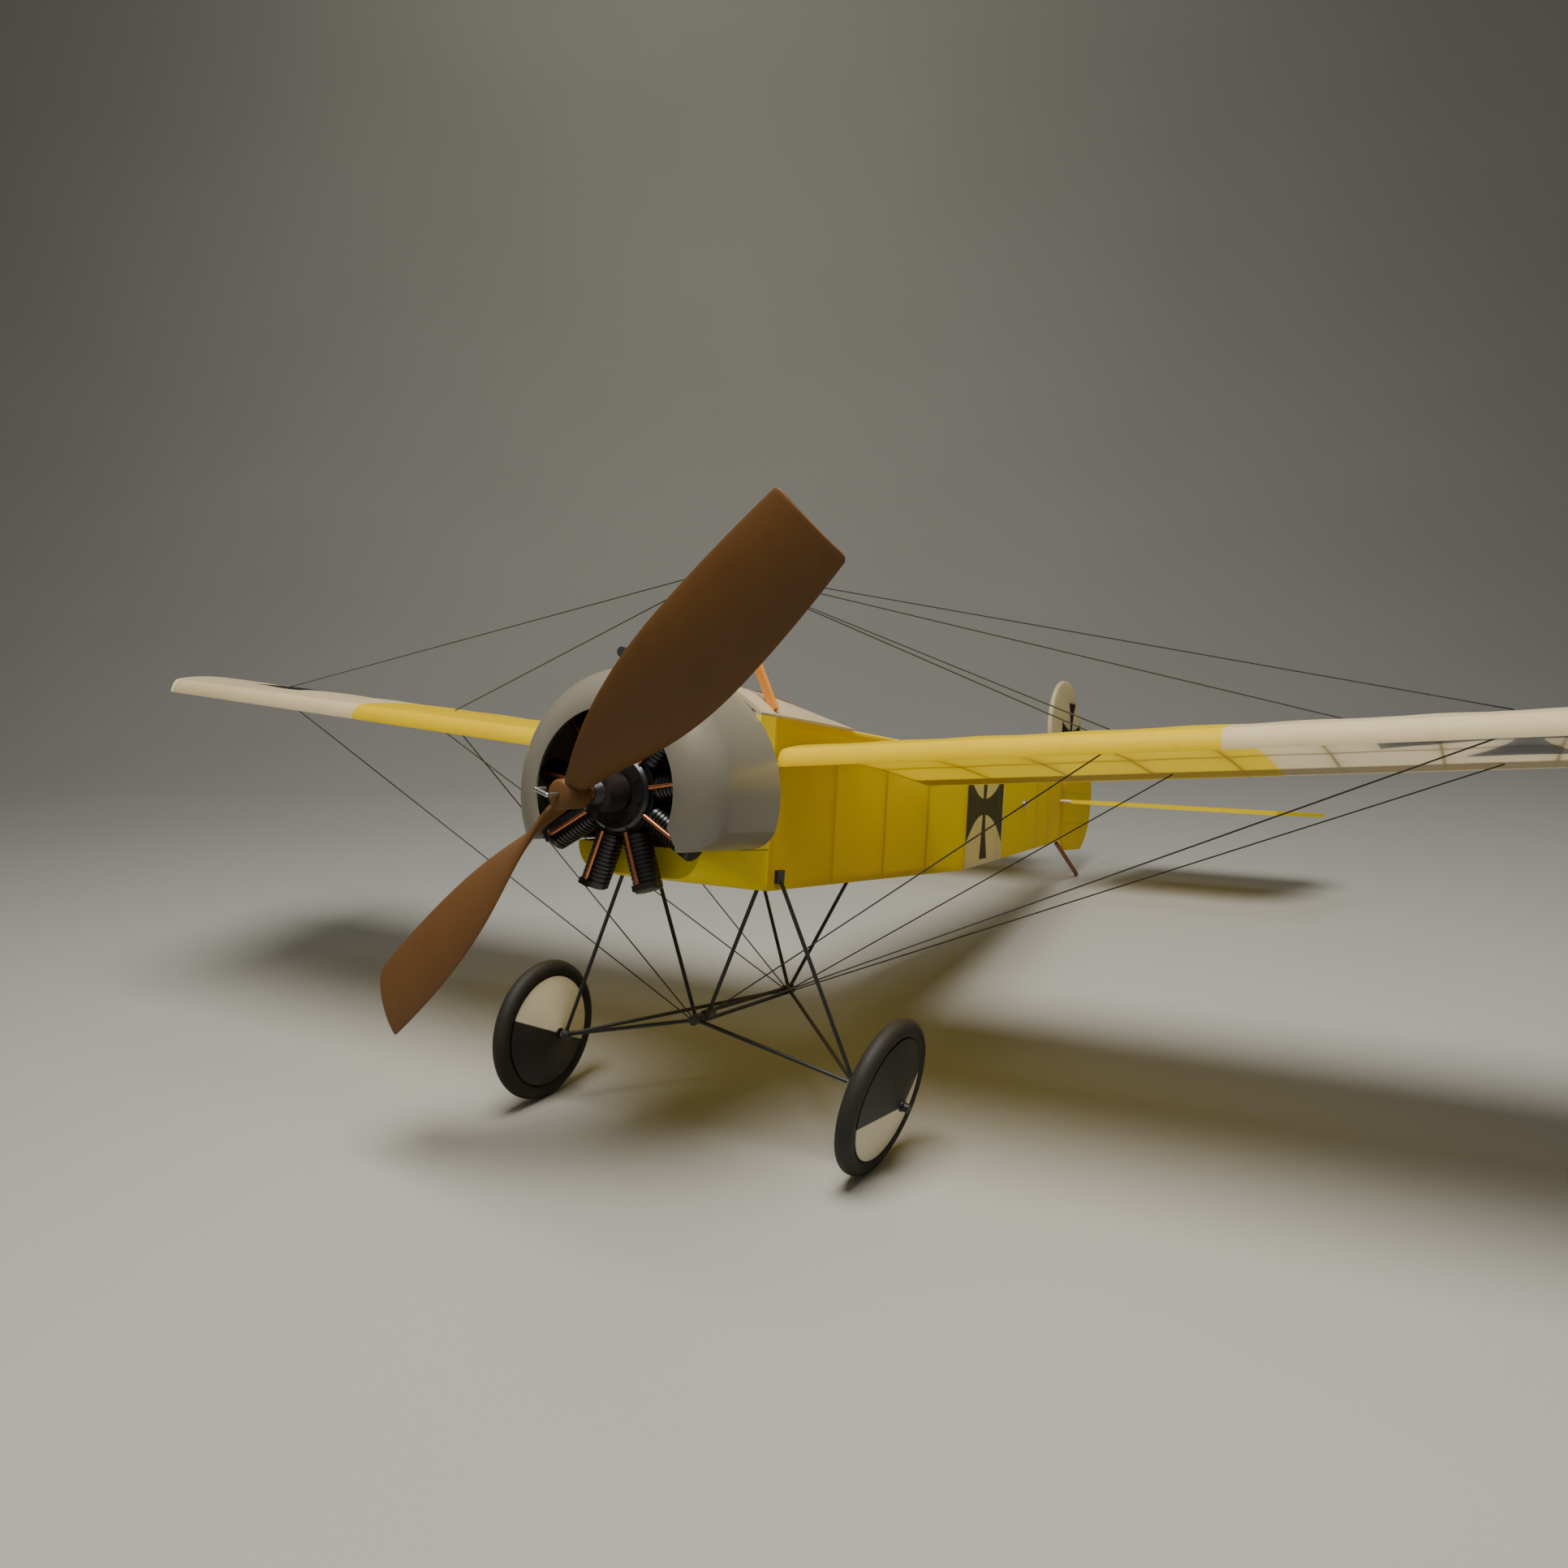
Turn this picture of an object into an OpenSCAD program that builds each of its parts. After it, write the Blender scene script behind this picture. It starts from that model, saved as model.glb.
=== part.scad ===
// Rubber-powered scale model monoplane of about 1916, built from sticks and tissue.
// +X is the model's port side, -Y is forward, +Z is up. The floor is z = 0.
// Inside attitude() the frame is the airframe's own: y runs aft from the cowl's
// front opening, z is measured from the thrust line.

/* [Stance] */
// Nose-up angle of the thrust line when the tail skid is down, degrees
stance = 8.96; // [6:0.02:12]
// Height of the cowl's front centre above the floor
nose_h = 144.84; // [140:0.02:150]

/* [Fuselage] */
// Half width of the parallel part
body_hw = 35; // [30:0.5:40]
// Where the covered box starts, behind the cowl
body_y0 = 57; // [55:0.5:60]
// Where the sides start to close in
taper_y = 255; // [230:5:280]
// Rear face of the sternpost
stern_y = 533; // [500:1:560]
// Top longeron line at the front
top_z0 = 31; // [28:0.5:34]
// Top longeron line at the sternpost
top_z1 = 18; // [12:0.5:22]
// Bottom line of the parallel part
bot_z0 = -34.2; // [-38:0.2:-30]
// Bottom line at the sternpost
bot_z1 = -26.5; // [-30:0.5:-22]
// Thickness of the covering
skin = 0.4; // [0.3:0.1:0.8]
// Side of the square balsa sticks
stick_w = 2.4; // [2:0.1:3.2]
// Where the motor peg crosses the body
peg_y = 400; // [360:5:430]
// Outer radius of the motor peg tube
peg_r = 2.4; // [2:0.1:3]
// Bore radius of the motor peg tube
peg_bore_r = 1.65; // [1.2:0.05:1.8]

/* [Cowl and engine] */
// Outer radius of the cowl
cowl_r = 45; // [42:0.5:48]
// Radius of the front opening
cowl_open_r = 29.8; // [26:0.2:32]
// Rear edge of the cowl
cowl_y1 = 46; // [44:0.5:50]
// Lower edge of the cowl
cowl_cut_z = -18.5; // [-22:0.5:-14]
// Number of cylinders in the dummy engine
cylinders = 9; // [5:2:11]
// Radius over the cylinder heads
cylinder_tip = 36; // [34:0.5:38]
// Radius of each cylinder over its fins
cylinder_r = 5.2; // [4.5:0.1:5.2]
// Radius of the crankcase
crank_r = 15.2; // [14:0.1:15.2]

/* [Propeller] */
// Propeller radius
prop_r = 125; // [100:1:125]
// Turn of the blades from vertical at rest, degrees
prop_turn = 47.6; // [0:0.1:90]
// Helix constant: radius times the tangent of the blade angle
prop_helix = 39; // [30:1:50]
// Widest blade chord
prop_chord = 35; // [28:0.5:40]
// Plane of the blades
prop_y = -16; // [-18:0.5:-14]
// Down thrust, degrees
down_thrust = 2.9; // [0:0.1:4]
// Side thrust, degrees
side_thrust = 3.2; // [0:0.1:4]

/* [Wing] */
// Chord of the wing
chord = 143.5; // [130:0.5:150]
// Half span at the leading edge
tip_le = 331; // [300:1:340]
// Half span at the trailing edge
tip_te = 381; // [350:1:390]
// Leading edge position at the middle of the span
wing_y = 57.25; // [55:0.25:60]
// Leading edge height at the middle of the span
wing_z = 9.74; // [5:0.01:14]
// Dihedral of each half, degrees
dihedral = 4.5; // [2:0.1:6]
// Incidence, degrees
incidence = 1.67; // [0:0.01:4]
// Height of the upper surface close behind the leading edge
nose_rise = 4.6; // [3:0.1:6]
// Further rise of the upper surface towards the middle of the chord
camber_top = 7.5; // [5:0.5:10]
// Height of the lower camber above the chord line
camber_low = 5.5; // [2:0.5:8]
// Ribs in each half
ribs = 9; // [6:1:12]
// Half span of the inner rigging stations
rig_x1 = 152.7; // [140:0.1:165]
// Half span of the outer rigging stations
rig_x2 = 271.2; // [255:0.1:285]
// Front rigging line as a part of the chord
rig_front = 0.17; // [0.1:0.01:0.25]
// Rear rigging line as a part of the chord
rig_rear = 0.89; // [0.7:0.01:0.92]
// Radius of the rigging thread
thread_r = 0.28; // [0.2:0.02:0.4]

/* [Undercarriage] */
// Radius of the undercarriage wire
wire_r = 0.8; // [0.6:0.1:1]
// Outer radius of a tyre
wheel_r = 29.95; // [28:0.05:31]
// Section radius of a tyre
tyre_r = 3.5; // [3:0.1:4]
// Distance of each hub from the middle
hub_x = 80; // [70:1:90]
// Hub position behind the cowl's front
hub_y = 71; // [68:0.5:74]
// Camber of the port wheel, degrees, top outwards
camber_port = 13; // [0:1:14]
// Camber of the starboard wheel, degrees, bottom outwards
camber_starboard = 3; // [0:1:8]
// Radial clearance of each hub on its axle
hub_gap = 0.06; // [0.03:0.01:0.1]

/* [Tail] */
// Hinge line of the rudder
rudder_y = 536; // [534:0.5:540]
// Pivot line of the elevator
elev_y = 525; // [520:0.5:528]
// Height of the elevator's pivot
elev_z = 2.4; // [0:0.1:5]
// Thickness of the tail surfaces
tail_t = 2.6; // [2.4:0.1:3]

/* [Hidden] */
$fn = 48;
centre_y = -286.97;         // puts the middle of the whole length over y = 0
hair = 0.01;             // keeps glued faces from crossing
le_len = tip_le / cos(dihedral);
te_len = tip_te / cos(dihedral);
wing_x = 36.3;           // root rib, just outside the body's side
cabane_apex = [0, 68.6, 88.2];
vee_front = [0, 67.3, -88.9];
vee_front_port = [0, 75.9, -87.3];
vee_rear = [0, 141.35, -86];
edge_in = 1.8;           // stick centre line inside the covered face
stern_hw = 1.6;
spar_r = 1;
knuckle = 1.04;          // bends are a little fatter than the wire
firewall_y = 43.4;
shaft_r = 0.8;
engine_y = 14;           // plane of the cylinders
lip_depth = 14;          // length of the rounded front of the cowl
plug_r = 6;
stations = [109, 158, 206, 258, 330, 440, 480];

// ---------- helpers ----------

// Places the airframe's own frame on the floor frame.
module attitude() translate([0, centre_y, nose_h]) rotate([-stance, 0, 0]) children();

// Frame of the thrust line, which is set a little down and to one side.
module thrust_line() rotate([down_thrust, 0, -side_thrust]) children();
function thrust_point(d) = d * [
  cos(down_thrust) * sin(side_thrust), cos(down_thrust) * cos(side_thrust), sin(down_thrust)];

// Round rod from a to b.
module rod(a, b, r, fn = 24) {
  v = b - a;
  translate(a) rotate([0, acos(v.z / norm(v)), atan2(v.y, v.x)])
    cylinder(h = norm(v), r = r, $fn = fn);
}

// Rectangular stick from a to b.
module stick(a, b, w, t) {
  v = b - a;
  translate(a) rotate([0, acos(v.z / norm(v)), atan2(v.y, v.x)])
    translate([-w / 2, -t / 2, 0]) cube([w, t, norm(v)]);
}

// Rod with a round knuckle at its start.
module bent_rod(a, b, r) {
  rod(a, b, r);
  translate(a) sphere(r = r * knuckle, $fn = 24);
}

// Rod that stops short of its ends, so that the glued wires stay separate pieces.
module short_rod(a, b, r, gap_a, gap_b) {
  u = (b - a) / norm(b - a);
  rod(a + gap_a * u, b - gap_b * u, r);
}

// Thin plate in a plane x = constant, drawn in y and z.
module side_plate(t) rotate([90, 0, 90]) linear_extrude(t) children();

function mix(a, b, t) = a + (b - a) * t;
function mirrored(p, s) = [s * p.x, p.y, p.z];

deck_slope = atan((top_z1 - top_z0) / (stern_y - body_y0));

// Outer lines of the body at any y.
function hw(y) = y <= taper_y ? body_hw : mix(body_hw, stern_hw, (y - taper_y) / (stern_y - taper_y));
function top_z(y) = mix(top_z0, top_z1, (y - body_y0) / (stern_y - body_y0));
function bot_z(y) = y <= taper_y ? bot_z0 : mix(bot_z0, bot_z1, (y - taper_y) / (stern_y - taper_y));

// A point on the wing: half span x, part of the chord, height above the chord line.
function wing_point(x, part, h) = [
  x,
  wing_y + part * chord * cos(incidence),
  wing_z + abs(x) * tan(dihedral) - part * chord * sin(incidence) + h
];
function upper(t) = nose_rise * (1 - t) * min(1, sqrt(t / 0.02))
  + camber_top * abs(sin(180 * pow(t, 0.75))) + 0.7;
function lower(t) = camber_low * sin(180 * pow(t, 0.75)) - 0.3;

// Centre of a hub, at the height that stands its tyre on the floor.
function tyre_drop(camber) =
  (wheel_r - tyre_r) * sqrt(1 - pow(sin(camber) * cos(stance), 2)) + tyre_r;
function hub_z(camber) = (tyre_drop(camber) - nose_h + hub_y * sin(stance)) / cos(stance);
function hub(s) = [s * hub_x, hub_y, hub_z(s > 0 ? camber_port : camber_starboard)];
function hub_tilt(s) = s > 0 ? camber_port : 180 + camber_starboard;
function axle_dir(s) = [cos(hub_tilt(s)), 0, -sin(hub_tilt(s))];
function axle_root(s) = hub(s) - 11.6 * axle_dir(s);

// ---------- cowl, engine and propeller ----------

// Quarter ellipse of the cowl's rounded front, as radius and y.
function lip(r0, r1, depth, y0) = [
  for (i = [0 : 20]) [mix(r0, r1, sin(90 * i / 20)), y0 + depth * (1 - cos(90 * i / 20))]
];

// Front view of the cowl: round above, with rounded lower corners, drawn inset by e.
module cowl_front(e) {
  corner = 12.5;
  x = 32.2;
  translate([-60, cowl_cut_z + corner]) square([120, 80]);
  translate([-x, cowl_cut_z + e]) square([2 * x, corner + 1]);
  for (s = [-1, 1]) translate([s * x, cowl_cut_z + corner]) circle(corner - e);
}
module cowl_prism(e) rotate([90, 0, 0]) translate([0, 0, -60]) linear_extrude(70) cowl_front(e);

// The lower middle is open from the front opening back, with room for two cylinder heads.
module cowl() color("Silver") attitude() difference() {
  t = 0.8;
  slot_x = 31;
  intersection() {
    rotate([-90, 0, 0]) rotate_extrude($fn = 96) polygon(concat(
      [[0, 0]], lip(cowl_open_r, cowl_r, lip_depth, 0), [[cowl_r, cowl_y1], [0, cowl_y1]]));
    cowl_prism(0);
  }
  intersection() {
    rotate([-90, 0, 0]) rotate_extrude($fn = 96) polygon(concat(
      [[0, -1], [cowl_open_r - hair, -1]], lip(cowl_open_r, cowl_r - t, lip_depth - t, t),
      [[cowl_r - t, cowl_y1 + 1], [0, cowl_y1 + 1]]));
    cowl_prism(t);
  }
  rotate([90, 0, 0]) translate([0, 0, -60]) linear_extrude(70) polygon([
    [-cowl_open_r + 3, -8], [cowl_open_r - 3, -8], [slot_x, cowl_cut_z + 2],
    [slot_x, cowl_cut_z - 1], [-slot_x, cowl_cut_z - 1], [-slot_x, cowl_cut_z + 2]]);
  for (i = [3, cylinders - 3]) rotate([0, i * 360 / cylinders, 0])
    translate([-cylinder_r - 0.4, 6, 20]) cube([2 * cylinder_r + 0.8, 14, cylinder_tip - 19]);
}

module firewall() color("BurlyWood") attitude() difference() {
  intersection() {
    translate([0, firewall_y, 0]) rotate([-90, 0, 0]) cylinder(h = 2.6, r = cowl_r - 0.9, $fn = 96);
    cowl_prism(0.9);
  }
  rotate([-90, 0, 0]) cylinder(h = 60, r = 10);
}

module nose_block() color("Gold") attitude() difference() {
  translate([-body_hw, cowl_y1 + 0.05, cowl_cut_z + 0.1])
    cube([2 * body_hw, body_y0 - cowl_y1 - 0.1, top_z0 - cowl_cut_z - 0.1]);
  rotate([-90, 0, 0]) cylinder(h = 80, r = 15);
}

// U section of the lower nose, as a thin slab at y.
module fairing_slab(y, w, z0, z1, r) translate([0, y, 0]) rotate([90, 0, 0]) linear_extrude(0.2)
  intersection() {
    union() {
      for (s = [-1, 1]) translate([s * (w - r), z0 + r]) circle(r, $fn = 32);
      translate([-w, z0 + r]) square([2 * w, 60]);
    }
    translate([-w, z0]) square([2 * w, z1 - z0]);
  }

module nose_fairing() color("Gold") attitude() difference() {
  hull() {
    fairing_slab(22.4, 27, -29.6, cowl_cut_z - 0.3, 10);
    fairing_slab(body_y0 - 0.1, body_hw, bot_z0, cowl_cut_z - 0.3, 3);
  }
  hull() {
    fairing_slab(23.4, 26, -28.6, 0, 9.4);
    fairing_slab(body_y0 + 0.1, body_hw - 1, bot_z0 + 1, 0, 2.4);
  }
}

crank_y = 7.5;           // front face of the crankcase
module crankcase() color("DimGray") attitude() difference() {
  union() {
    rotate([-90, 0, 0]) translate([0, 0, crank_y]) cylinder(h = 1.1, r1 = crank_r - 2.6, r2 = crank_r - 1.4);
    rotate([-90, 0, 0]) translate([0, 0, crank_y + 1]) cylinder(h = 2, r = crank_r - 1.4);
    rotate([-90, 0, 0]) translate([0, 0, crank_y + 2.4]) cylinder(h = 10, r = crank_r);
    rotate([-90, 0, 0]) translate([0, 0, 17]) cylinder(h = firewall_y - 17.1, r = crank_r - 1.2);
    for (i = [0 : cylinders - 1]) rotate([0, 20 + i * 360 / cylinders, 0])
      translate([0, crank_y + 0.4, crank_r - 4.4]) rotate([90, 0, 0]) cylinder(h = 1.2, r = 0.9, $fn = 24);
  }
  thrust_line() rotate([-90, 0, 0]) translate([0, 0, -5]) cylinder(h = 60, r = plug_r + 0.06);
}

// One finned cylinder, standing up from the crankcase, with its rocker box in front.
module engine_cylinder() {
  fins = 11;
  fin_t = 1;
  seat = crank_r + 0.2;
  head = cylinder_tip - 2.6;
  translate([0, 0, seat]) cylinder(h = head - seat + 0.1, r = cylinder_r - 0.6, $fn = 32);
  for (i = [0 : fins - 1]) translate([0, 0, seat + 0.8 + i * (head - seat - 1) / fins])
    cylinder(h = fin_t, r = cylinder_r, $fn = 32);
  translate([0, 0, head]) cylinder(h = 2, r = cylinder_r, $fn = 32);
  translate([0, 0, head + 1.99]) cylinder(h = 0.6, r1 = cylinder_r, r2 = cylinder_r - 0.6, $fn = 32);
  translate([-2.1, -7, head]) cube([4.2, 5, 2.2]);
}

module engine_cylinders() color("Black") attitude() for (i = [0 : cylinders - 1])
  rotate([0, i * 360 / cylinders, 0]) translate([0, engine_y, 0]) engine_cylinder();

module push_rods() color("Chocolate") attitude() for (i = [0 : cylinders - 1])
  rotate([0, i * 360 / cylinders, 0])
    rod([0, engine_y - 6.1, crank_r - 0.6], [0, engine_y - 6.1, cylinder_tip - 2.7], 0.75);

module nose_plug() color("DarkSlateGray") attitude() thrust_line() difference() {
  union() {
    rotate([-90, 0, 0]) translate([0, 0, -3.2]) cylinder(h = 10, r = 7);
    rotate([-90, 0, 0]) translate([0, 0, 6.7]) cylinder(h = 18, r = plug_r);
    rotate([-90, 0, 0]) translate([0, 0, -6]) cylinder(h = 3, r1 = 3, r2 = 4.4);
  }
  rotate([-90, 0, 0]) translate([0, 0, -10]) cylinder(h = 40, r = shaft_r + 0.06);
}

// Blade chord and half thickness along the radius, with round tip corners.
function blade_chord(u) = prop_chord * (u < 0.55
  ? 0.3 + 0.7 * sin(90 * pow(u / 0.55, 0.8)) : 1 - 0.14 * pow((u - 0.55) / 0.45, 2))
  * (u < 0.96 ? 1 : sqrt(1 - 0.3 * pow((u - 0.96) / 0.04, 2)));
function blade_half(u) = mix(1.9, 0.5, pow(u, 0.6));
blade_parts = [for (i = [0 : 15]) i * 0.064, 0.98, 0.992, 1];
blade_steps = len(blade_parts) - 1;
blade_sides = 14;

// One ring of a blade at part u of the radius, turned to the helix angle.
function blade_ring(u) = let (
    r = mix(4, prop_r, u), a = atan(prop_helix / r), c = blade_chord(u), h = blade_half(u))
  [for (k = [0 : blade_sides - 1]) let (
      p = cos(360 * k / blade_sides) * c / 2,
      q = sin(360 * k / blade_sides) * h + 0.06 * c * (1 - pow(2 * p / c, 2)) - 0.03 * c)
    [p * cos(a) + q * sin(a), p * sin(a) - q * cos(a), r]];

module blade() {
  pts = [for (u = blade_parts) each blade_ring(u)];
  n = blade_sides;
  last = blade_steps * n;
  walls = [for (i = [0 : blade_steps - 1], k = [0 : n - 1]) let (a = i * n + k, b = i * n + (k + 1) % n)
    each [[a, b, b + n], [a, b + n, a + n]]];
  polyhedron(pts, concat(walls, [[for (k = [n - 1 : -1 : 0]) k]], [[for (k = [0 : n - 1]) last + k]]));
}

module propeller() color("SaddleBrown") attitude() thrust_line() difference() {
  union() {
    for (turn = [0, 180]) rotate([0, prop_turn + turn, 0]) translate([0, prop_y, 0]) blade();
    rotate([-90, 0, 0]) translate([0, 0, prop_y - 6]) cylinder(h = 12, r = 5.2, $fn = 32);
  }
  rotate([-90, 0, 0]) translate([0, 0, -40]) cylinder(h = 60, r = shaft_r, $fn = 24);
}

hook_y = 56;
hook_r = 4;
shaft_front = -27;
module prop_shaft() color("Silver") attitude() thrust_line() {
  lock = [-5.4, shaft_front + 0.4, 1.6];
  rotate([-90, 0, 0]) translate([0, 0, shaft_front])
    cylinder(h = hook_y - hook_r - shaft_r - 0.05 - shaft_front, r = shaft_r, $fn = 24);
  translate([0, shaft_front, 0]) sphere(r = shaft_r * knuckle, $fn = 24);
  bent_rod(lock, [0, shaft_front, 0], shaft_r);
  rod(lock, lock + [0, 4.2, 0], shaft_r);
  translate([0, hook_y, 0]) rotate([0, 0, -90]) rotate_extrude(angle = 300, $fn = 48)
    translate([hook_r, 0]) circle(shaft_r, $fn = 24);
}

module thrust_washers() color("Goldenrod") attitude() thrust_line() for (y = [-9.6, -8.4, -7.2])
  rotate([-90, 0, 0]) translate([0, 0, y]) difference() {
    cylinder(h = 1, r = 2.4, $fn = 32);
    translate([0, 0, -1]) cylinder(h = 4, r = shaft_r + 0.02, $fn = 32);
  }

// Half of a flat ring, open towards +x or -x of its own plane.
module half_ring(inner, outer, side) difference() {
  circle(outer);
  circle(inner);
  translate([side > 0 ? -2 * outer : 0, -2 * outer]) square([2 * outer, 4 * outer]);
}

// Loop of rubber strip from the hook back round the peg.
strip_w = 3;
strip_t = 1.1;
module rubber_motor() color("Tan") attitude() {
  front = thrust_point(hook_y + hook_r);
  run = norm(front - [0, peg_y, 0]);
  peg_in = peg_r + 0.1;
  hook_in = shaft_r + 0.5;
  translate([0, peg_y, 0]) rotate([-asin(front.z / run), 0, asin(front.x / run)])
    translate([-strip_w / 2, 0, 0]) side_plate(strip_w) {
      half_ring(peg_in, peg_in + strip_t, 1);
      translate([-run, 0]) half_ring(hook_in, hook_in + strip_t, -1);
      for (s = [-1, 1]) polygon([
        [0, s * peg_in], [0, s * (peg_in + strip_t)],
        [-run, s * (hook_in + strip_t)], [-run, s * hook_in]]);
    }
}

module peg_solid(r, extra) translate([-hw(peg_y) - extra, peg_y, 0]) rotate([0, 90, 0])
  cylinder(h = 2 * (hw(peg_y) + extra), r = r);

module motor_peg() color("Silver") attitude() difference() {
  peg_solid(peg_r, 1.6);
  peg_solid(peg_bore_r, 5);
}

// ---------- fuselage ----------

module main_former() color("BurlyWood") attitude() difference() {
  translate([-body_hw + 0.5, body_y0, bot_z0 + 0.5])
    cube([2 * body_hw - 1, 2.2, top_z0 - bot_z0 - 1]);
  rotate([-90, 0, 0]) cylinder(h = 80, r = 22);
}

module longerons() color("BurlyWood") attitude() for (s = [-1, 1], top = [0, 1]) {
  y0 = body_y0 + 2.3;
  y1 = stern_y - 49;
  z = [for (y = [y0, taper_y, y1]) top == 1 ? top_z(y) - edge_in : bot_z(y) + edge_in];
  a = [s * (body_hw - edge_in), y0, z[0]];
  b = [s * (body_hw - edge_in), taper_y - 0.1, z[1]];
  c = [s * (body_hw - edge_in), taper_y + 0.1, z[1]];
  e = [s * (hw(y1) - edge_in - 0.4), y1, z[2]];
  stick(a, b, stick_w, stick_w);
  stick(c, e, stick_w - 0.5, stick_w - 0.5);
}

module fuselage_spacers() color("BurlyWood") attitude() {
  half = stick_w / 2;
  for (y = stations) {
    x = hw(y) - edge_in - (y > taper_y ? 0.35 : 0);
    zt = top_z(y) - edge_in;
    zb = bot_z(y) + edge_in;
    for (s = [-1, 1]) translate([s * x - 1, y - 1, zb + half + 0.2]) cube([2, 2, zt - zb - 2 * half - 0.4]);
    for (z = abs(y - cockpit_y) < cockpit_l + 2 ? [zb] : [zb, zt])
      translate([-x + half + 0.3, y - 1, z - 1]) cube([2 * (x - half) - 0.6, 2, 2]);
  }
}

// Sternpost, with the block that carries the elevator's spar.
module sternpost() color("BurlyWood") attitude() difference() {
  union() {
    translate([-stern_hw + 0.5, stern_y - 4.6, bot_z1 + 0.5])
      cube([2 * stern_hw - 1, 4.5, top_z1 - bot_z1 - 1]);
    translate([-stern_hw + 0.5, elev_y - 3, elev_z - 3]) cube([2 * stern_hw - 1, 4, 6]);
  }
  translate([-10, elev_y, elev_z]) rotate([0, 90, 0]) cylinder(h = 20, r = spar_r + 0.06);
}

// Side of the body: a parallel panel and a panel that closes in towards the stern,
// parted by a hairline at the bend.
module side_covering(s) difference() {
  taper = atan((body_hw - stern_hw) / (stern_y - taper_y));
  run = (stern_y - taper_y) / cos(taper);
  bend = 0.06;
  union() {
    translate([s > 0 ? body_hw - skin : -body_hw, 0, 0]) side_plate(skin) polygon([
      [body_y0 + 0.05, bot_z0], [taper_y - hair, bot_z0],
      [taper_y - hair, top_z(taper_y)], [body_y0 + 0.05, top_z(body_y0)]]);
    mirror([s > 0 ? 0 : 1, 0, 0]) translate([body_hw, taper_y, 0]) rotate([0, 0, taper])
      translate([-skin, 0, 0]) side_plate(skin) polygon([
        [bend, bot_z0], [run, bot_z1], [run, top_z1], [bend, top_z(taper_y)]]);
  }
  peg_solid(peg_r + 0.02, 6);
  translate([-40, elev_y, elev_z]) rotate([0, 90, 0]) cylinder(h = 80, r = 1.8);
}
module side_covering_port() color("Gold") attitude() side_covering(1);
module side_covering_starboard() color("Gold") attitude() side_covering(-1);

module bottom_covering() color("Gold") attitude() {
  w = skin + 0.02;
  rise = atan((bot_z1 - bot_z0) / (stern_y - taper_y));
  translate([-body_hw + w, body_y0 + 0.05, bot_z0])
    cube([2 * (body_hw - w), taper_y - body_y0 - 0.1, skin]);
  translate([0, taper_y, bot_z0]) rotate([rise, 0, 0]) linear_extrude(skin) polygon([
    [-body_hw + w, 0.05], [body_hw - w, 0.05],
    [stern_hw - w, stern_y - taper_y], [w - stern_hw, stern_y - taper_y]]);
}

// Top of the body behind the cockpit, one plane that follows the top longerons.
deck_y = 122;
module rear_deck() color("Gold") attitude() {
  translate([0, body_y0, top_z0]) rotate([deck_slope, 0, 0]) linear_extrude(skin) polygon([
    [-body_hw, deck_y - body_y0 + 0.2], [body_hw, deck_y - body_y0 + 0.2],
    [body_hw, taper_y - body_y0], [stern_hw, stern_y - body_y0],
    [-stern_hw, stern_y - body_y0], [-body_hw, taper_y - body_y0]]);
}

// Slab whose top is an arc through both edges and the crown.
module deck_slab(y, w, z0, crown, inset) {
  r = (w * w + crown * crown) / (2 * crown);
  translate([0, y, 0]) rotate([90, 0, 0]) linear_extrude(0.2) intersection() {
    translate([0, z0 + crown - r]) circle(r - inset, $fn = 96);
    translate([-w + inset, z0 - 1 + inset]) square([2 * (w - inset), crown + 2]);
  }
}

// Arched deck from the cowl to behind the cockpit, its top raised by lift.
module deck_shape(lift) hull() {
  deck_slab(cowl_y1 + 0.35, body_hw, top_z0 + 1, 13.4 + lift, max(-lift, 0));
  deck_slab(84, body_hw, top_z0 + 0.4, 11.6 + lift, max(-lift, 0));
  deck_slab(deck_y, body_hw, top_z(deck_y) + 1.2, 3.4 + lift, max(-lift, 0));
}

cockpit_y = 101;
cockpit_w = 15;
cockpit_l = 12;
module front_deck() color("Beige") attitude() difference() {
  deck_shape(0);
  translate([0, 0, -0.8]) hull() {
    deck_slab(cowl_y1, body_hw, top_z0 + 1, 13.4, 0.8);
    deck_slab(84, body_hw, top_z0 + 0.4, 11.6, 0.8);
    deck_slab(deck_y + 0.5, body_hw, top_z(deck_y) + 1.2, 3.4, 0.8);
    translate([0.8 - body_hw, cowl_y1 - 1, top_z0 - 8]) cube([2 * body_hw - 1.6, deck_y - cowl_y1 + 2, 1]);
  }
  translate([0, body_y0, top_z0 + 0.05]) rotate([deck_slope, 0, 0]) translate([-60, -60, -80]) cube([120, 200, 80]);
  cockpit_hole(0);
}

// Round-ended opening for the pilot.
module cockpit_hole(grow) translate([0, cockpit_y, 0]) {
  for (s = [-1, 1]) translate([s * (cockpit_w - cockpit_l), 0, 0]) cylinder(h = 80, r = cockpit_l + grow);
  translate([cockpit_l - cockpit_w, -cockpit_l - grow, 0])
    cube([2 * (cockpit_w - cockpit_l), 2 * (cockpit_l + grow), 80]);
}

// Raised rim round the edge of the opening.
module cockpit_rim() color("SaddleBrown") attitude() difference() {
  intersection() {
    deck_shape(1.4);
    translate([0, 0, top_z0 + 2]) cockpit_hole(1.6);
  }
  deck_shape(0.02);
  cockpit_hole(0);
}

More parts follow.
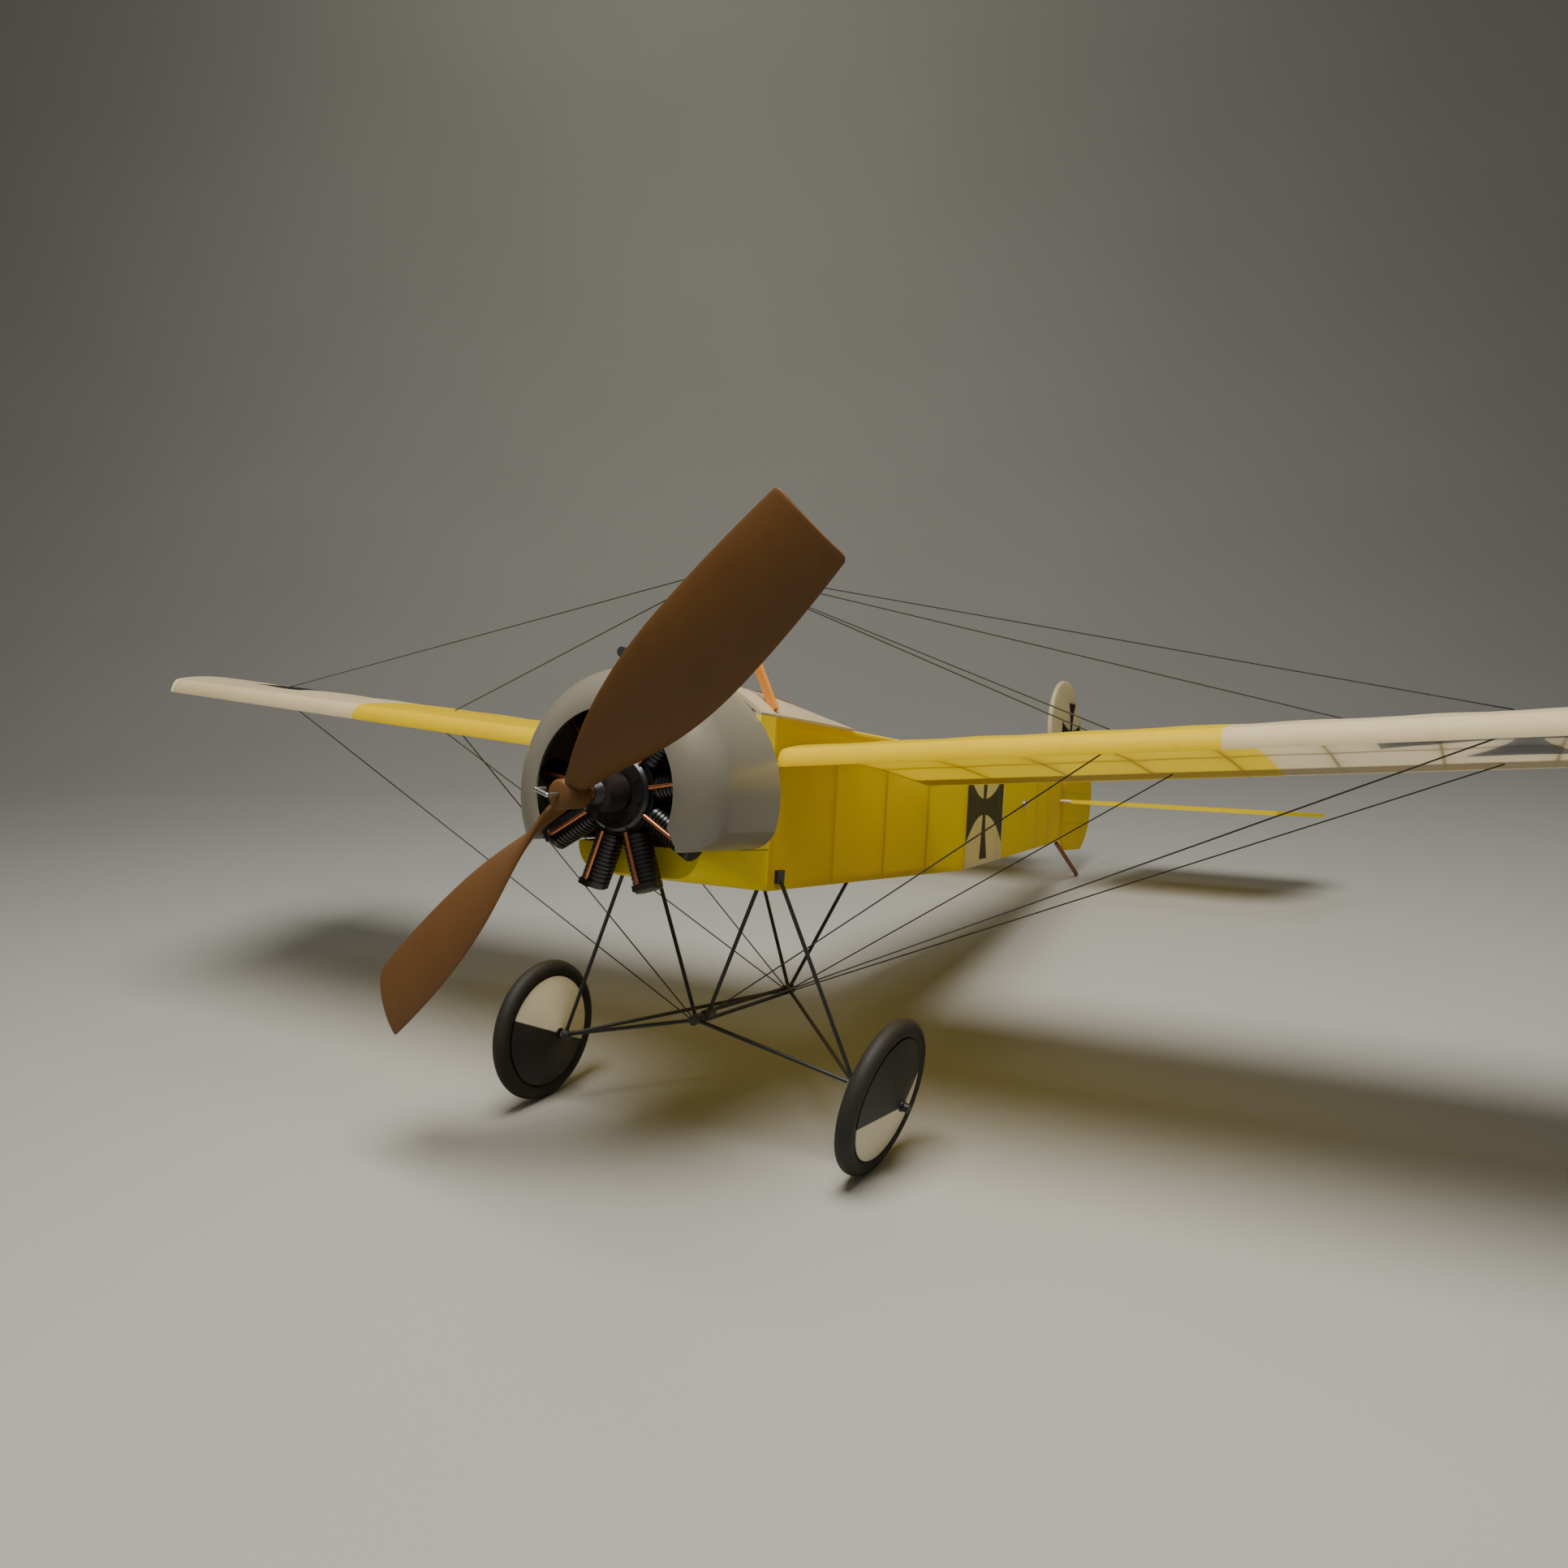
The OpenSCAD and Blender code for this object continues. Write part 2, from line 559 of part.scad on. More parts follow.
gun_x = -12;
gun_z = 51.4;
module dummy_gun() color("Black") attitude() {
  rotate([-90, 0, 0]) translate([gun_x, -gun_z, 22]) cylinder(h = 4.2, r = 1.9, $fn = 32);
  rotate([-90, 0, 0]) translate([gun_x, -gun_z, 26]) cylinder(h = 46, r = 1.1, $fn = 32);
  rotate([-90, 0, 0]) translate([gun_x, -gun_z, 31]) cylinder(h = 38, r = 2.5, $fn = 32);
  translate([gun_x - 2.6, 69, gun_z - 4.4]) cube([5.2, 20, 7.4]);
  translate([gun_x - 1.7, 74, gun_z + 3]) cube([3.4, 9, 1.2]);
  for (s = [-1, 1]) rod([gun_x + s * 1.8, 89, gun_z - 2], [gun_x + s * 1.8, 92.4, gun_z - 2], 0.7);
  rod([gun_x, 34, cowl_r - 1.6], [gun_x, 34, gun_z - 2], 0.9);
}

// ---------- cabane ----------

cabane_foot = [33.2, 58.5, 33.4];
module cabane_struts() color("Peru") attitude() for (s = [-1, 1])
  stick(mirrored(cabane_foot, s), cabane_apex + [s * 0.9, 0, -1.4], 3.4, 1.8);

module cabane_binding() color("Black") attitude() difference() {
  translate(cabane_apex - [2.6, 2.6, 4.4]) cube([5.2, 5.2, 4]);
  for (s = [-1, 1])
    stick(mirrored(cabane_foot, s), cabane_apex + [s * 0.9, 0, -1.4], 3.44, 1.84);
}

// ---------- wing ----------

// Section of the wing, drawn in part of chord and height, inset by e.
function section_top(e) = [for (i = [0 : 24]) let (t = pow(i / 24, 1.6))
  [mix(e, chord - 3 * e, t), upper(t) - e]];
function section_low(e) = [for (i = [14 : -1 : 0]) let (t = i / 14)
  [mix(e, chord - 3 * e, t), lower(t) + e]];
module section(e) polygon(concat(section_top(e), section_low(e)));

// Frame of one half wing: x aft along the chord, y up, z outwards along the span.
module half_wing(s) mirror([s > 0 ? 0 : 1, 0, 0]) translate([0, wing_y, wing_z])
  rotate([0, -dihedral, 0]) rotate([-incidence, 0, 0]) rotate([90, 0, 90]) children();

// Everything inboard of the raked tip line, moved outwards by grow.
module inboard(grow) difference() {
  translate([-5, -20, wing_x / cos(dihedral)]) cube([chord + 10, 60, te_len]);
  translate([0, -25, le_len + grow]) rotate([0, -atan((te_len - le_len) / chord), 0])
    translate([-300, 0, 0]) cube([600, 80, 200]);
}

lead_w = 5;      // depth of the leading edge stick
trail_w = 18;    // depth of the trailing edge strip
module lead_area() translate([-1, -5]) square([lead_w + 1, 30]);
module trail_area() translate([chord - trail_w, -5]) square([trail_w + 2, 30]);
module spar_area(g) {
  translate([rig_front * chord + 2 - g, 4.6 - g]) square([2.4 + 2 * g, 4.6 + 2 * g]);
  translate([0.62 * chord - g, 4.9 - g]) square([2.4 + 2 * g, 2.8 + 2 * g]);
}

module wing_covering(s) attitude() half_wing(s) intersection() {
  linear_extrude(te_len + 10) difference() {
    section(0);
    section(skin);
  }
  inboard(-2.2);
}
module wing_covering_port() color("Gold") wing_covering(1);
module wing_covering_starboard() color("Gold") wing_covering(-1);

rib_pitch = (tip_le - 8 - wing_x) / (ribs - 1);
module wing_ribs(s) attitude() half_wing(s) for (i = [0 : ribs - 1])
  translate([0, 0, wing_x + 0.5 + i * rib_pitch]) linear_extrude(1.2) difference() {
    section(skin + hair);
    lead_area();
    trail_area();
    spar_area(0.05);
  }
module wing_ribs_port() color("BurlyWood") wing_ribs(1);
module wing_ribs_starboard() color("BurlyWood") wing_ribs(-1);

module leading_edge(s) attitude() half_wing(s) intersection() {
  linear_extrude(te_len) intersection() {
    section(skin + hair);
    translate([-0.02, 0]) lead_area();
  }
  inboard(-4);
}
module leading_edge_port() color("BurlyWood") leading_edge(1);
module leading_edge_starboard() color("BurlyWood") leading_edge(-1);

module trailing_edge(s) attitude() half_wing(s) intersection() {
  linear_extrude(te_len) intersection() {
    section(skin + hair);
    translate([0.02, 0]) trail_area();
  }
  inboard(-4);
}
module trailing_edge_port() color("BurlyWood") trailing_edge(1);
module trailing_edge_starboard() color("BurlyWood") trailing_edge(-1);

module wing_spars(s) attitude() half_wing(s) intersection() {
  linear_extrude(te_len) spar_area(0);
  inboard(-4);
}
module wing_spars_port() color("BurlyWood") wing_spars(1);
module wing_spars_starboard() color("BurlyWood") wing_spars(-1);

// Solid raked strip that closes the end of the wing.
module wing_tip(s) attitude() half_wing(s) difference() {
  intersection() {
    linear_extrude(te_len + 10) section(0);
    inboard(0);
  }
  inboard(-2.15);
}
module wing_tip_port() color("Beige") wing_tip(1);
module wing_tip_starboard() color("Beige") wing_tip(-1);

// ---------- rigging ----------

// Two threads of one side and one spar; each ends beside its neighbours on the target.
module rig(s, target, part, up) for (x = [rig_x1, rig_x2]) {
  beside = [s * 1.6, 0, (x == rig_x2 ? 0.5 : -0.5) * (up ? 1 : -1)];
  rod(wing_point(s * x, part, up ? upper(part) + 0.1 : lower(part) - 0.4), target + beside, thread_r, 13);
}

module landing_wires() color("DimGray") attitude() for (s = [-1, 1]) {
  rig(s, cabane_apex + [0, -1.2, 0], rig_front, true);
  rig(s, cabane_apex + [0, 1.2, 0], rig_rear, true);
}

module flying_wires() color("DimGray") attitude() for (s = [-1, 1]) {
  rig(s, vee_front, rig_front, false);
  rig(s, vee_rear, rig_rear, false);
}

// ---------- undercarriage ----------

module gear_vee_struts() color("Black") attitude() {
  foot_z = bot_z0 - 0.5;
  rod(vee_front, [-23.5, 69.5, foot_z], wire_r);
  rod(vee_front_port, [23.5, 69.5, foot_z], wire_r);
  rod(vee_rear, [-23, 149, foot_z], wire_r);
  short_rod(vee_rear, [23, 149, foot_z], wire_r, 2, 0);
}

module gear_keel() color("Black") attitude() {
  rod(vee_front + [0, 0, -1.2], vee_rear + [0, 0, -1.2], wire_r);
  rod(vee_front_port + [0, 0, 0.8], vee_rear + [0, -2, 0.9], wire_r);
}

module gear_radius_rods() color("Black") attitude() for (s = [-1, 1]) {
  short_rod(vee_front, axle_root(s), wire_r, s > 0 ? 2 : 0, 0);
  short_rod(vee_rear, axle_root(s), wire_r, s > 0 ? 2 : 0, 2.6);
}

module gear_side_struts() color("Black") attitude() for (s = [-1, 1]) {
  rod([s * 36, 64.5, -29.7], axle_root(s), wire_r);
  translate([s > 0 ? body_hw + 0.02 : -body_hw - 1.62, 62, -31.5]) cube([1.6, 5, 5]);
}

// Thread bound and glued round each place where wires meet.
module gear_bindings() color("Black") attitude() {
  rod(vee_front + [0, -2.6, 0], vee_front + [0, 3, 0.4], 2);
  rod(vee_front_port + [0, -3, -0.6], vee_front_port + [0, 3, 0.4], 1.9);
  rod(vee_rear + [0, -4, 0], vee_rear + [0, 2.4, 0], 2.1);
  for (s = [-1, 1]) translate(axle_root(s) - 0.4 * axle_dir(s)) sphere(r = 2.3, $fn = 32);
}

module axle_stubs() color("Silver") attitude() for (s = [-1, 1])
  rod(axle_root(s), hub(s) + 11.4 * axle_dir(s), wire_r);

module wheel_retainers() color("Black") attitude() for (s = [-1, 1])
  rod(hub(s) + 9.6 * axle_dir(s), hub(s) + 11.2 * axle_dir(s), 1.7);

// Wheel frame: the axle is the z axis, pointing outwards.
module wheel_frame(s) attitude() translate(hub(s)) rotate([0, 90 + hub_tilt(s), 0]) children();

module tyre() rotate_extrude($fn = 96) difference() {
  translate([wheel_r - tyre_r, 0]) circle(tyre_r, $fn = 48);
  translate([0, -10]) square([wheel_r - 2 * tyre_r + 0.65, 20]);
}
module tyre_port() color("DarkSlateGray") wheel_frame(1) tyre();
module tyre_starboard() color("DarkSlateGray") wheel_frame(-1) tyre();

rim_r = wheel_r - 2 * tyre_r + 0.63;
module discs() for (s = [-1, 1]) rotate([s > 0 ? 0 : 180, 0, 0]) rotate_extrude($fn = 96)
  polygon([[rim_r - 0.2, 2.55], [rim_r - 0.2, 3], [2.25, 8.4], [2.25, 7.9]]);
module wheel_discs_port() color("Beige") wheel_frame(1) discs();
module wheel_discs_starboard() color("Beige") wheel_frame(-1) discs();

// Hub tube, with the plywood rim that the tyre and the discs are glued to.
module wheel_hub() {
  difference() {
    union() {
      translate([0, 0, -9]) cylinder(h = 18, r = 2.2);
      translate([0, 0, -0.8]) cylinder(h = 1.6, r = rim_r - 1);
    }
    translate([0, 0, -12]) cylinder(h = 24, r = wire_r + hub_gap);
    for (i = [0 : 4]) rotate(i * 72) translate([12.4, 0, -5]) cylinder(h = 10, r = 5.2);
  }
  difference() {
    translate([0, 0, -2.5]) cylinder(h = 5, r = rim_r, $fn = 96);
    translate([0, 0, -3]) cylinder(h = 6, r = rim_r - 1, $fn = 96);
  }
}
module wheel_hub_port() color("Silver") wheel_frame(1) wheel_hub();
module wheel_hub_starboard() color("Silver") wheel_frame(-1) wheel_hub();

// ---------- tail ----------

elev_root = 17;
elev_tip = 160;
module elevator_spar() color("BurlyWood") attitude() translate([20 - elev_tip, elev_y, elev_z])
  rotate([0, 90, 0]) cylinder(h = 2 * elev_tip - 40, r = spar_r, $fn = 32);

// Outline of the port half in x and y, from the root's front corner round the tip.
module elevator_outline() union() {
  polygon([[elev_root, 503], [128, 504], [150, 516], [172, 578], [166, 590], [40, 590], [30, 560]]);
}
module elevator(s) attitude() mirror([s > 0 ? 0 : 1, 0, 0]) difference() {
  translate([0, 0, elev_z - tail_t / 2]) linear_extrude(tail_t) elevator_outline();
  translate([0, elev_y, elev_z]) rotate([0, 90, 0]) cylinder(h = elev_tip - 19.9, r = spar_r + 0.02, $fn = 32);
}
module elevator_port() color("Gold") elevator(1);
module elevator_starboard() color("Gold") elevator(-1);

// Comma-shaped rudder in y and z: a round head with a balance ahead of the hinge.
balance_z = 23;
knuckle_z0 = -20;
knuckle_z1 = 12;
head = [529.5, 57.5];
head_r = 31.5;
heel = [568, 3];
heel_r = 41;

// Outward direction of the straight edge that touches both round parts.
function touch_dir() = let (d = heel - head, l = norm(d), k = (head_r - heel_r) / l)
  k * d / l + sqrt(1 - k * k) * [-d.y, d.x] / l;

module rudder_outline() difference() {
  union() {
    translate(head) circle(head_r, $fn = 96);
    translate(heel) circle(heel_r, $fn = 96);
    polygon([head, head + head_r * touch_dir(), heel + heel_r * touch_dir(), heel]);
  }
  translate([400, -80]) square([rudder_y + 2 - 400, 80 + balance_z]);
  translate([400, -200]) square([300, 200 - 34]);
}

module rudder() color("Gold") attitude() difference() {
  union() {
    translate([-tail_t / 2, 0, 0]) side_plate(tail_t) rudder_outline();
    translate([-tail_t / 2, rudder_y, knuckle_z0]) cube([tail_t, 4, knuckle_z1 - knuckle_z0]);
    translate([0, rudder_y, knuckle_z0]) cylinder(h = knuckle_z1 - knuckle_z0, r = tail_t / 2);
  }
  translate([0, rudder_y, knuckle_z0 - 1]) cylinder(h = knuckle_z1 - knuckle_z0 + 2, r = pin_r + 0.06);
}

pin_r = 0.5;
module rudder_hinges() color("Silver") attitude() {
  for (z = [knuckle_z0 - 1.6, knuckle_z1 + 0.6])
    translate([-1, stern_y + 0.02, z]) cube([2, rudder_y - stern_y + 0.9, 1]);
  translate([0, rudder_y, knuckle_z0 - 2.2]) cylinder(h = knuckle_z1 - knuckle_z0 + 4.4, r = pin_r);
}

skid_r = 1.6;
skid_y = 585;
skid_lift = 1.36;         // height of the centre of the skid's end above the floor
module tail_skid() color("SaddleBrown") attitude() {
  tip = [0, skid_y, (skid_lift - nose_h + skid_y * sin(stance)) / cos(stance)];
  rod([0, 529.5, bot_z1 - 1.9], tip, skid_r);
}

cowl();
firewall();
nose_block();
nose_fairing();
crankcase();
engine_cylinders();
push_rods();
nose_plug();
propeller();
prop_shaft();
thrust_washers();
rubber_motor();
motor_peg();
main_former();
longerons();
fuselage_spacers();
sternpost();
side_covering_port();
side_covering_starboard();
bottom_covering();
rear_deck();
front_deck();
cockpit_rim();
dummy_gun();
cabane_struts();
cabane_binding();
wing_covering_port();
wing_covering_starboard();
wing_ribs_port();
wing_ribs_starboard();
leading_edge_port();
leading_edge_starboard();
trailing_edge_port();
trailing_edge_starboard();
wing_spars_port();
wing_spars_starboard();
wing_tip_port();
wing_tip_starboard();
landing_wires();
flying_wires();
gear_vee_struts();
gear_keel();
gear_radius_rods();
gear_side_struts();
gear_bindings();
axle_stubs();
wheel_retainers();
tyre_port();
tyre_starboard();
wheel_discs_port();
wheel_discs_starboard();
wheel_hub_port();
wheel_hub_starboard();
elevator_spar();
elevator_port();
elevator_starboard();
rudder();
rudder_hinges();
tail_skid();
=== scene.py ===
import math

import bpy
from mathutils import Matrix, Vector, noise


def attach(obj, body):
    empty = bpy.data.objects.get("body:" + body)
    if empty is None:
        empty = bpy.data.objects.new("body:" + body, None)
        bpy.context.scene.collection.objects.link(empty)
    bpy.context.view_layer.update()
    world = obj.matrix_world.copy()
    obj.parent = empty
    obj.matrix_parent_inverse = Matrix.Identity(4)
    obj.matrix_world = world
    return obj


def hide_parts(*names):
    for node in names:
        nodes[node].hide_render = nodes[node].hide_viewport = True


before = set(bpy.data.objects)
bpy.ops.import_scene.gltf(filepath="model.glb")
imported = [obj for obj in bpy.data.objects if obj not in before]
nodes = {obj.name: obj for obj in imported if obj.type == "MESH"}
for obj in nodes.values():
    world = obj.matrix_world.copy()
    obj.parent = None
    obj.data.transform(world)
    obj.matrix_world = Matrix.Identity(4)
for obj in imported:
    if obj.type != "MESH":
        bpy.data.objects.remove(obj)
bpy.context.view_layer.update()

# ---------- the airframe's own frame, in millimetres, as the CAD model has it ----------
# y runs aft from the cowl's front, z is measured from the thrust line, x is to port.
MM = 0.001
STANCE = math.radians(8.96)
NOSE_H = 144.84
CENTRE_Y = -286.97
ATTITUDE = Matrix.Translation((0, CENTRE_Y * MM, NOSE_H * MM)) @ Matrix.Rotation(-STANCE, 4, "X")
BODY_HW, BODY_Y0, TAPER_Y, STERN_Y, STERN_HW = 35.0, 57.0, 255.0, 533.0, 1.6
TOP_Z0, TOP_Z1, BOT_Z0, BOT_Z1 = 31.0, 18.0, -34.2, -26.5
CHORD, WING_Y, WING_Z = 143.5, 57.25, 9.74
DIHEDRAL, INCIDENCE = math.radians(4.5), math.radians(1.67)
NOSE_RISE, CAMBER_TOP, CAMBER_LOW = 4.6, 7.5, 5.5
LE_LEN, TE_LEN = 331 / math.cos(DIHEDRAL), 381 / math.cos(DIHEDRAL)
ROOT = 36.3 / math.cos(DIHEDRAL)
RIBS = 9
RIB_PITCH = (331 - 8 - 36.3) / (RIBS - 1)
COLOUR_BREAK = 194 / math.cos(DIHEDRAL)
THRUST = Matrix.Rotation(math.radians(-3.2), 4, "Z") @ Matrix.Rotation(math.radians(2.9), 4, "X")
STATIONS = [59, 109, 158, 206, 258, 330, 440, 480, 531]


def at(x, y, z):
    """A point of the airframe's frame, in millimetres, as a point of the row frame in metres."""
    return ATTITUDE @ Vector((x * MM, y * MM, z * MM))


def direction(x, y, z):
    return (ATTITUDE.to_3x3() @ Vector((x, y, z))).normalized()


def mix(a, b, t):
    return a + (b - a) * t


def smoothstep(a, b, x):
    t = min(max((x - a) / (b - a), 0.0), 1.0)
    return t * t * (3 - 2 * t)


def half_width(y):
    return BODY_HW if y <= TAPER_Y else mix(BODY_HW, STERN_HW, (y - TAPER_Y) / (STERN_Y - TAPER_Y))


def top_z(y):
    return mix(TOP_Z0, TOP_Z1, (y - BODY_Y0) / (STERN_Y - BODY_Y0))


def bottom_z(y):
    return BOT_Z0 if y <= TAPER_Y else mix(BOT_Z0, BOT_Z1, (y - TAPER_Y) / (STERN_Y - TAPER_Y))


# ---------- node trees written as sums ----------
class V:
    """A number in a node tree: arithmetic on it makes Math nodes."""

    def __init__(self, tree, socket):
        self.tree, self.socket = tree, socket

    def op(self, kind, *others):
        n = self.tree.nodes.new("ShaderNodeMath")
        n.operation = kind
        for i, v in enumerate((self,) + others):
            if isinstance(v, V):
                self.tree.links.new(v.socket, n.inputs[i])
            else:
                n.inputs[i].default_value = v
        return V(self.tree, n.outputs[0])

    def __add__(self, o):
        return self.op("ADD", o)

    def __sub__(self, o):
        return self.op("SUBTRACT", o)

    def __mul__(self, o):
        return self.op("MULTIPLY", o)

    def abs(self):
        return self.op("ABSOLUTE")

    def max(self, o):
        return self.op("MAXIMUM", o)

    def min(self, o):
        return self.op("MINIMUM", o)

    def sin(self):
        return self.op("SINE")

    def near(self, points, reach):
        """1 on the nearest of some values, falling to 0 at reach."""
        best = None
        for p in points:
            d = (self - p).abs()
            best = d if best is None else best.min(d)
        return best.ramp(reach, 0.0)

    def ramp(self, a, b):
        """0 at a and 1 at b, smooth between them."""
        n = self.tree.nodes.new("ShaderNodeMapRange")
        n.interpolation_type = "SMOOTHSTEP"
        n.inputs["From Min"].default_value = a
        n.inputs["From Max"].default_value = b
        self.tree.links.new(self.socket, n.inputs["Value"])
        return V(self.tree, n.outputs[0])


class Material:
    """A procedural material on object coordinates, which are the row frame at rest."""

    def __init__(self, name, roughness=0.5, metallic=0.0, **fixed):
        self.mat = bpy.data.materials.new(name)
        self.mat.use_nodes = True
        self.tree = self.mat.node_tree
        self.shader = self.tree.nodes["Principled BSDF"]
        self.shader.inputs["Roughness"].default_value = roughness
        self.shader.inputs["Metallic"].default_value = metallic
        for key, value in fixed.items():
            self.shader.inputs[key.replace("_", " ")].default_value = value
        self.coords = self.tree.nodes.new("ShaderNodeTexCoord").outputs["Object"]

    def along(self, axis, origin):
        """Distance in millimetres from origin along a row-frame direction."""
        dot = self.tree.nodes.new("ShaderNodeVectorMath")
        dot.operation = "DOT_PRODUCT"
        dot.inputs[1].default_value = [c / MM for c in axis]
        self.tree.links.new(self.coords, dot.inputs[0])
        return V(self.tree, dot.outputs["Value"]) - Vector(axis).dot(Vector(origin)) / MM

    def airframe(self):
        """x, y and z of the airframe's frame, in millimetres."""
        o = at(0, 0, 0)
        return [self.along(direction(*a), o) for a in ((1, 0, 0), (0, 1, 0), (0, 0, 1))]

    def stretched(self, axis, ratio):
        """Object coordinates squeezed along an axis, so that a noise is drawn out along it."""
        n = self.tree.nodes.new("ShaderNodeMapping")
        n.inputs["Scale"].default_value = [ratio if c == axis else 1.0 for c in "XYZ"]
        self.tree.links.new(self.coords, n.inputs["Vector"])
        return n.outputs[0]

    def noise(self, size_mm, detail=3.0, roughness=0.55, coords=None, distortion=0.0):
        """Noise from 0 to 1 with features about size_mm across."""
        n = self.tree.nodes.new("ShaderNodeTexNoise")
        n.inputs["Scale"].default_value = 1000.0 / size_mm
        n.inputs["Detail"].default_value = detail
        n.inputs["Roughness"].default_value = roughness
        n.inputs["Distortion"].default_value = distortion
        self.tree.links.new(coords or self.coords, n.inputs["Vector"])
        return V(self.tree, n.outputs["Fac"])

    def blend(self, factor, a, b):
        """A colour from a at factor 0 to b at factor 1; a and b are colours or sockets."""
        n = self.tree.nodes.new("ShaderNodeMix")
        n.data_type = "RGBA"
        self.tree.links.new(factor.socket, n.inputs[0])
        for socket, colour in ((n.inputs[6], a), (n.inputs[7], b)):
            if isinstance(colour, tuple):
                socket.default_value = (*colour, 1.0)
            else:
                self.tree.links.new(colour, socket)
        return n.outputs[2]

    def colour(self, socket):
        self.tree.links.new(socket, self.shader.inputs["Base Color"])
        self.base = socket

    def rough(self, value):
        self.tree.links.new(value.socket, self.shader.inputs["Roughness"])

    def bump(self, height, depth_mm, strength=1.0):
        n = self.tree.nodes.new("ShaderNodeBump")
        n.inputs["Distance"].default_value = depth_mm * MM
        n.inputs["Strength"].default_value = strength
        self.tree.links.new(height.socket, n.inputs["Height"])
        self.tree.links.new(n.outputs[0], self.shader.inputs["Normal"])
        self.normal = n.outputs[0]

    def glow_through(self, share):
        """Lets part of the light through a thin sheet, tinted by a paler form of its colour."""
        glow = self.tree.nodes.new("ShaderNodeBsdfTranslucent")
        through = self.tree.nodes.new("ShaderNodeGamma")
        through.inputs["Gamma"].default_value = 0.5
        self.tree.links.new(self.base, through.inputs["Color"])
        self.tree.links.new(through.outputs[0], glow.inputs["Color"])
        self.tree.links.new(self.normal, glow.inputs["Normal"])
        both = self.tree.nodes.new("ShaderNodeMixShader")
        both.inputs[0].default_value = share
        self.tree.links.new(self.shader.outputs[0], both.inputs[1])
        self.tree.links.new(glow.outputs[0], both.inputs[2])
        self.tree.links.new(both.outputs[0], self.tree.nodes["Material Output"].inputs["Surface"])


YELLOW = (0.94, 0.73, 0.0)
YELLOW_DEEP = (0.84, 0.63, 0.0)
CREAM = (0.86, 0.78, 0.54)
BLACK = (0.012, 0.012, 0.013)
CREAM_SHADE = (0.72, 0.63, 0.40)
# Dark brown for thin lines over the sticks behind the tissue: painted shade where they hold back the
# light.
STICK_PAINTED_SHADE = (0.38, 0.24, 0.02)


def cross_mask(u, v, half, waist, flare):
    """1 inside a plain cross whose four arms widen towards their ends."""
    def arm(a, b):
        return (b.abs() - waist - a * a * flare).ramp(0.4, -0.4).min((a.abs() - half).ramp(0.4, -0.4))
    return arm(u, v).max(arm(v, u))


def tissue(name, mask_colours, share=0.58):
    """Doped tissue: fibres, faint wrinkles and painted areas. mask_colours gets the material
    and the plain yellow, and returns the colour."""
    m = Material(name, roughness=0.42, Specular_IOR_Level=0.25)
    fibre = m.noise(1.6, 5.0, 0.65, m.stretched("Y", 0.25))
    cloud = m.noise(38.0, 3.0)
    wrinkle = m.noise(9.0, 2.0, 0.5, m.stretched("X", 0.3), 0.6)
    yellow = m.blend(cloud * 0.7 + fibre * 0.3, YELLOW_DEEP, YELLOW)
    m.colour(mask_colours(m, yellow))
    m.rough(fibre * 0.16 + cloud * 0.12 + 0.30)
    m.bump(fibre * 0.25 + wrinkle, 0.22, 0.5)
    m.glow_through(share)
    return m.mat


def stick_shade_lines(value, points, width):
    """1 on thin lines at some values, where the tissue is darkened as painted shade of the sticks behind
    it.
    """
    return value.near(points, width)


# ---------- painted tissue ----------
def wing_frame(s, m):
    """Half span and place along the chord on one wing, in millimetres."""
    o = at(0, WING_Y, WING_Z)
    si, ci, sd, cd = math.sin(INCIDENCE), math.cos(INCIDENCE), math.sin(DIHEDRAL), math.cos(DIHEDRAL)
    span = m.along(direction(s * cd, 0, sd), o)
    chord = m.along(direction(s * si * sd, ci, -si * cd), o)
    return span, chord


RIB_LINES = [ROOT + 1.1 + i * RIB_PITCH for i in range(RIBS)]
WING_CROSS_SPAN, WING_CROSS_CHORD = 278.0, 66.0
TRAILING_STRIP = 18.0
SIDE_PANEL_Y0, SIDE_PANEL_Y1 = 259.0, 343.0
SIDE_CROSS_Y, SIDE_CROSS_Z = 299.0, -1.6
RUDDER_CROSS_Y, RUDDER_CROSS_Z, RUDDER_BREAK_Z = 546.0, 52.0, 28.0


def wing_tissue(s, top):
    """Yellow inboard, cream outboard with a black cross; below the wing the cross is painted grey, as
    painted light coming through the tissue.
    """
    def colours(m, yellow):
        span, chord = wing_frame(s, m)
        cream = m.blend(m.noise(30.0) * 0.8, CREAM, CREAM_SHADE)
        cross = cross_mask(span - WING_CROSS_SPAN, chord - WING_CROSS_CHORD, 44.5, 4.0, 0.0075)
        black = m.blend(m.noise(12.0), BLACK, (0.035, 0.035, 0.036))
        # Painted light: the black cross is painted grey on the underside, as if lit through the wing.
        grey = m.blend(m.noise(12.0), (0.13, 0.13, 0.13), (0.17, 0.17, 0.165))
        outer = m.blend(cross, cream, black if top else grey)
        both = m.blend((span - COLOUR_BREAK).ramp(-0.4, 0.4), yellow, outer)
        # Painted shade: dark lines over the ribs, stronger on the underside, and over the front edge of
        # the trailing strip.
        ribs = stick_shade_lines(span, RIB_LINES, 1.6) * (0.05 if top else 0.12)
        edge = (chord - (CHORD - TRAILING_STRIP)).abs().ramp(1.2, 0.0) * 0.06
        return m.blend(ribs.max(edge), both, (0.30, 0.19, 0.04))
    name = "wing_top" if top else "wing_under"
    return tissue(f"{name}_{'port' if s > 0 else 'starboard'}", colours)


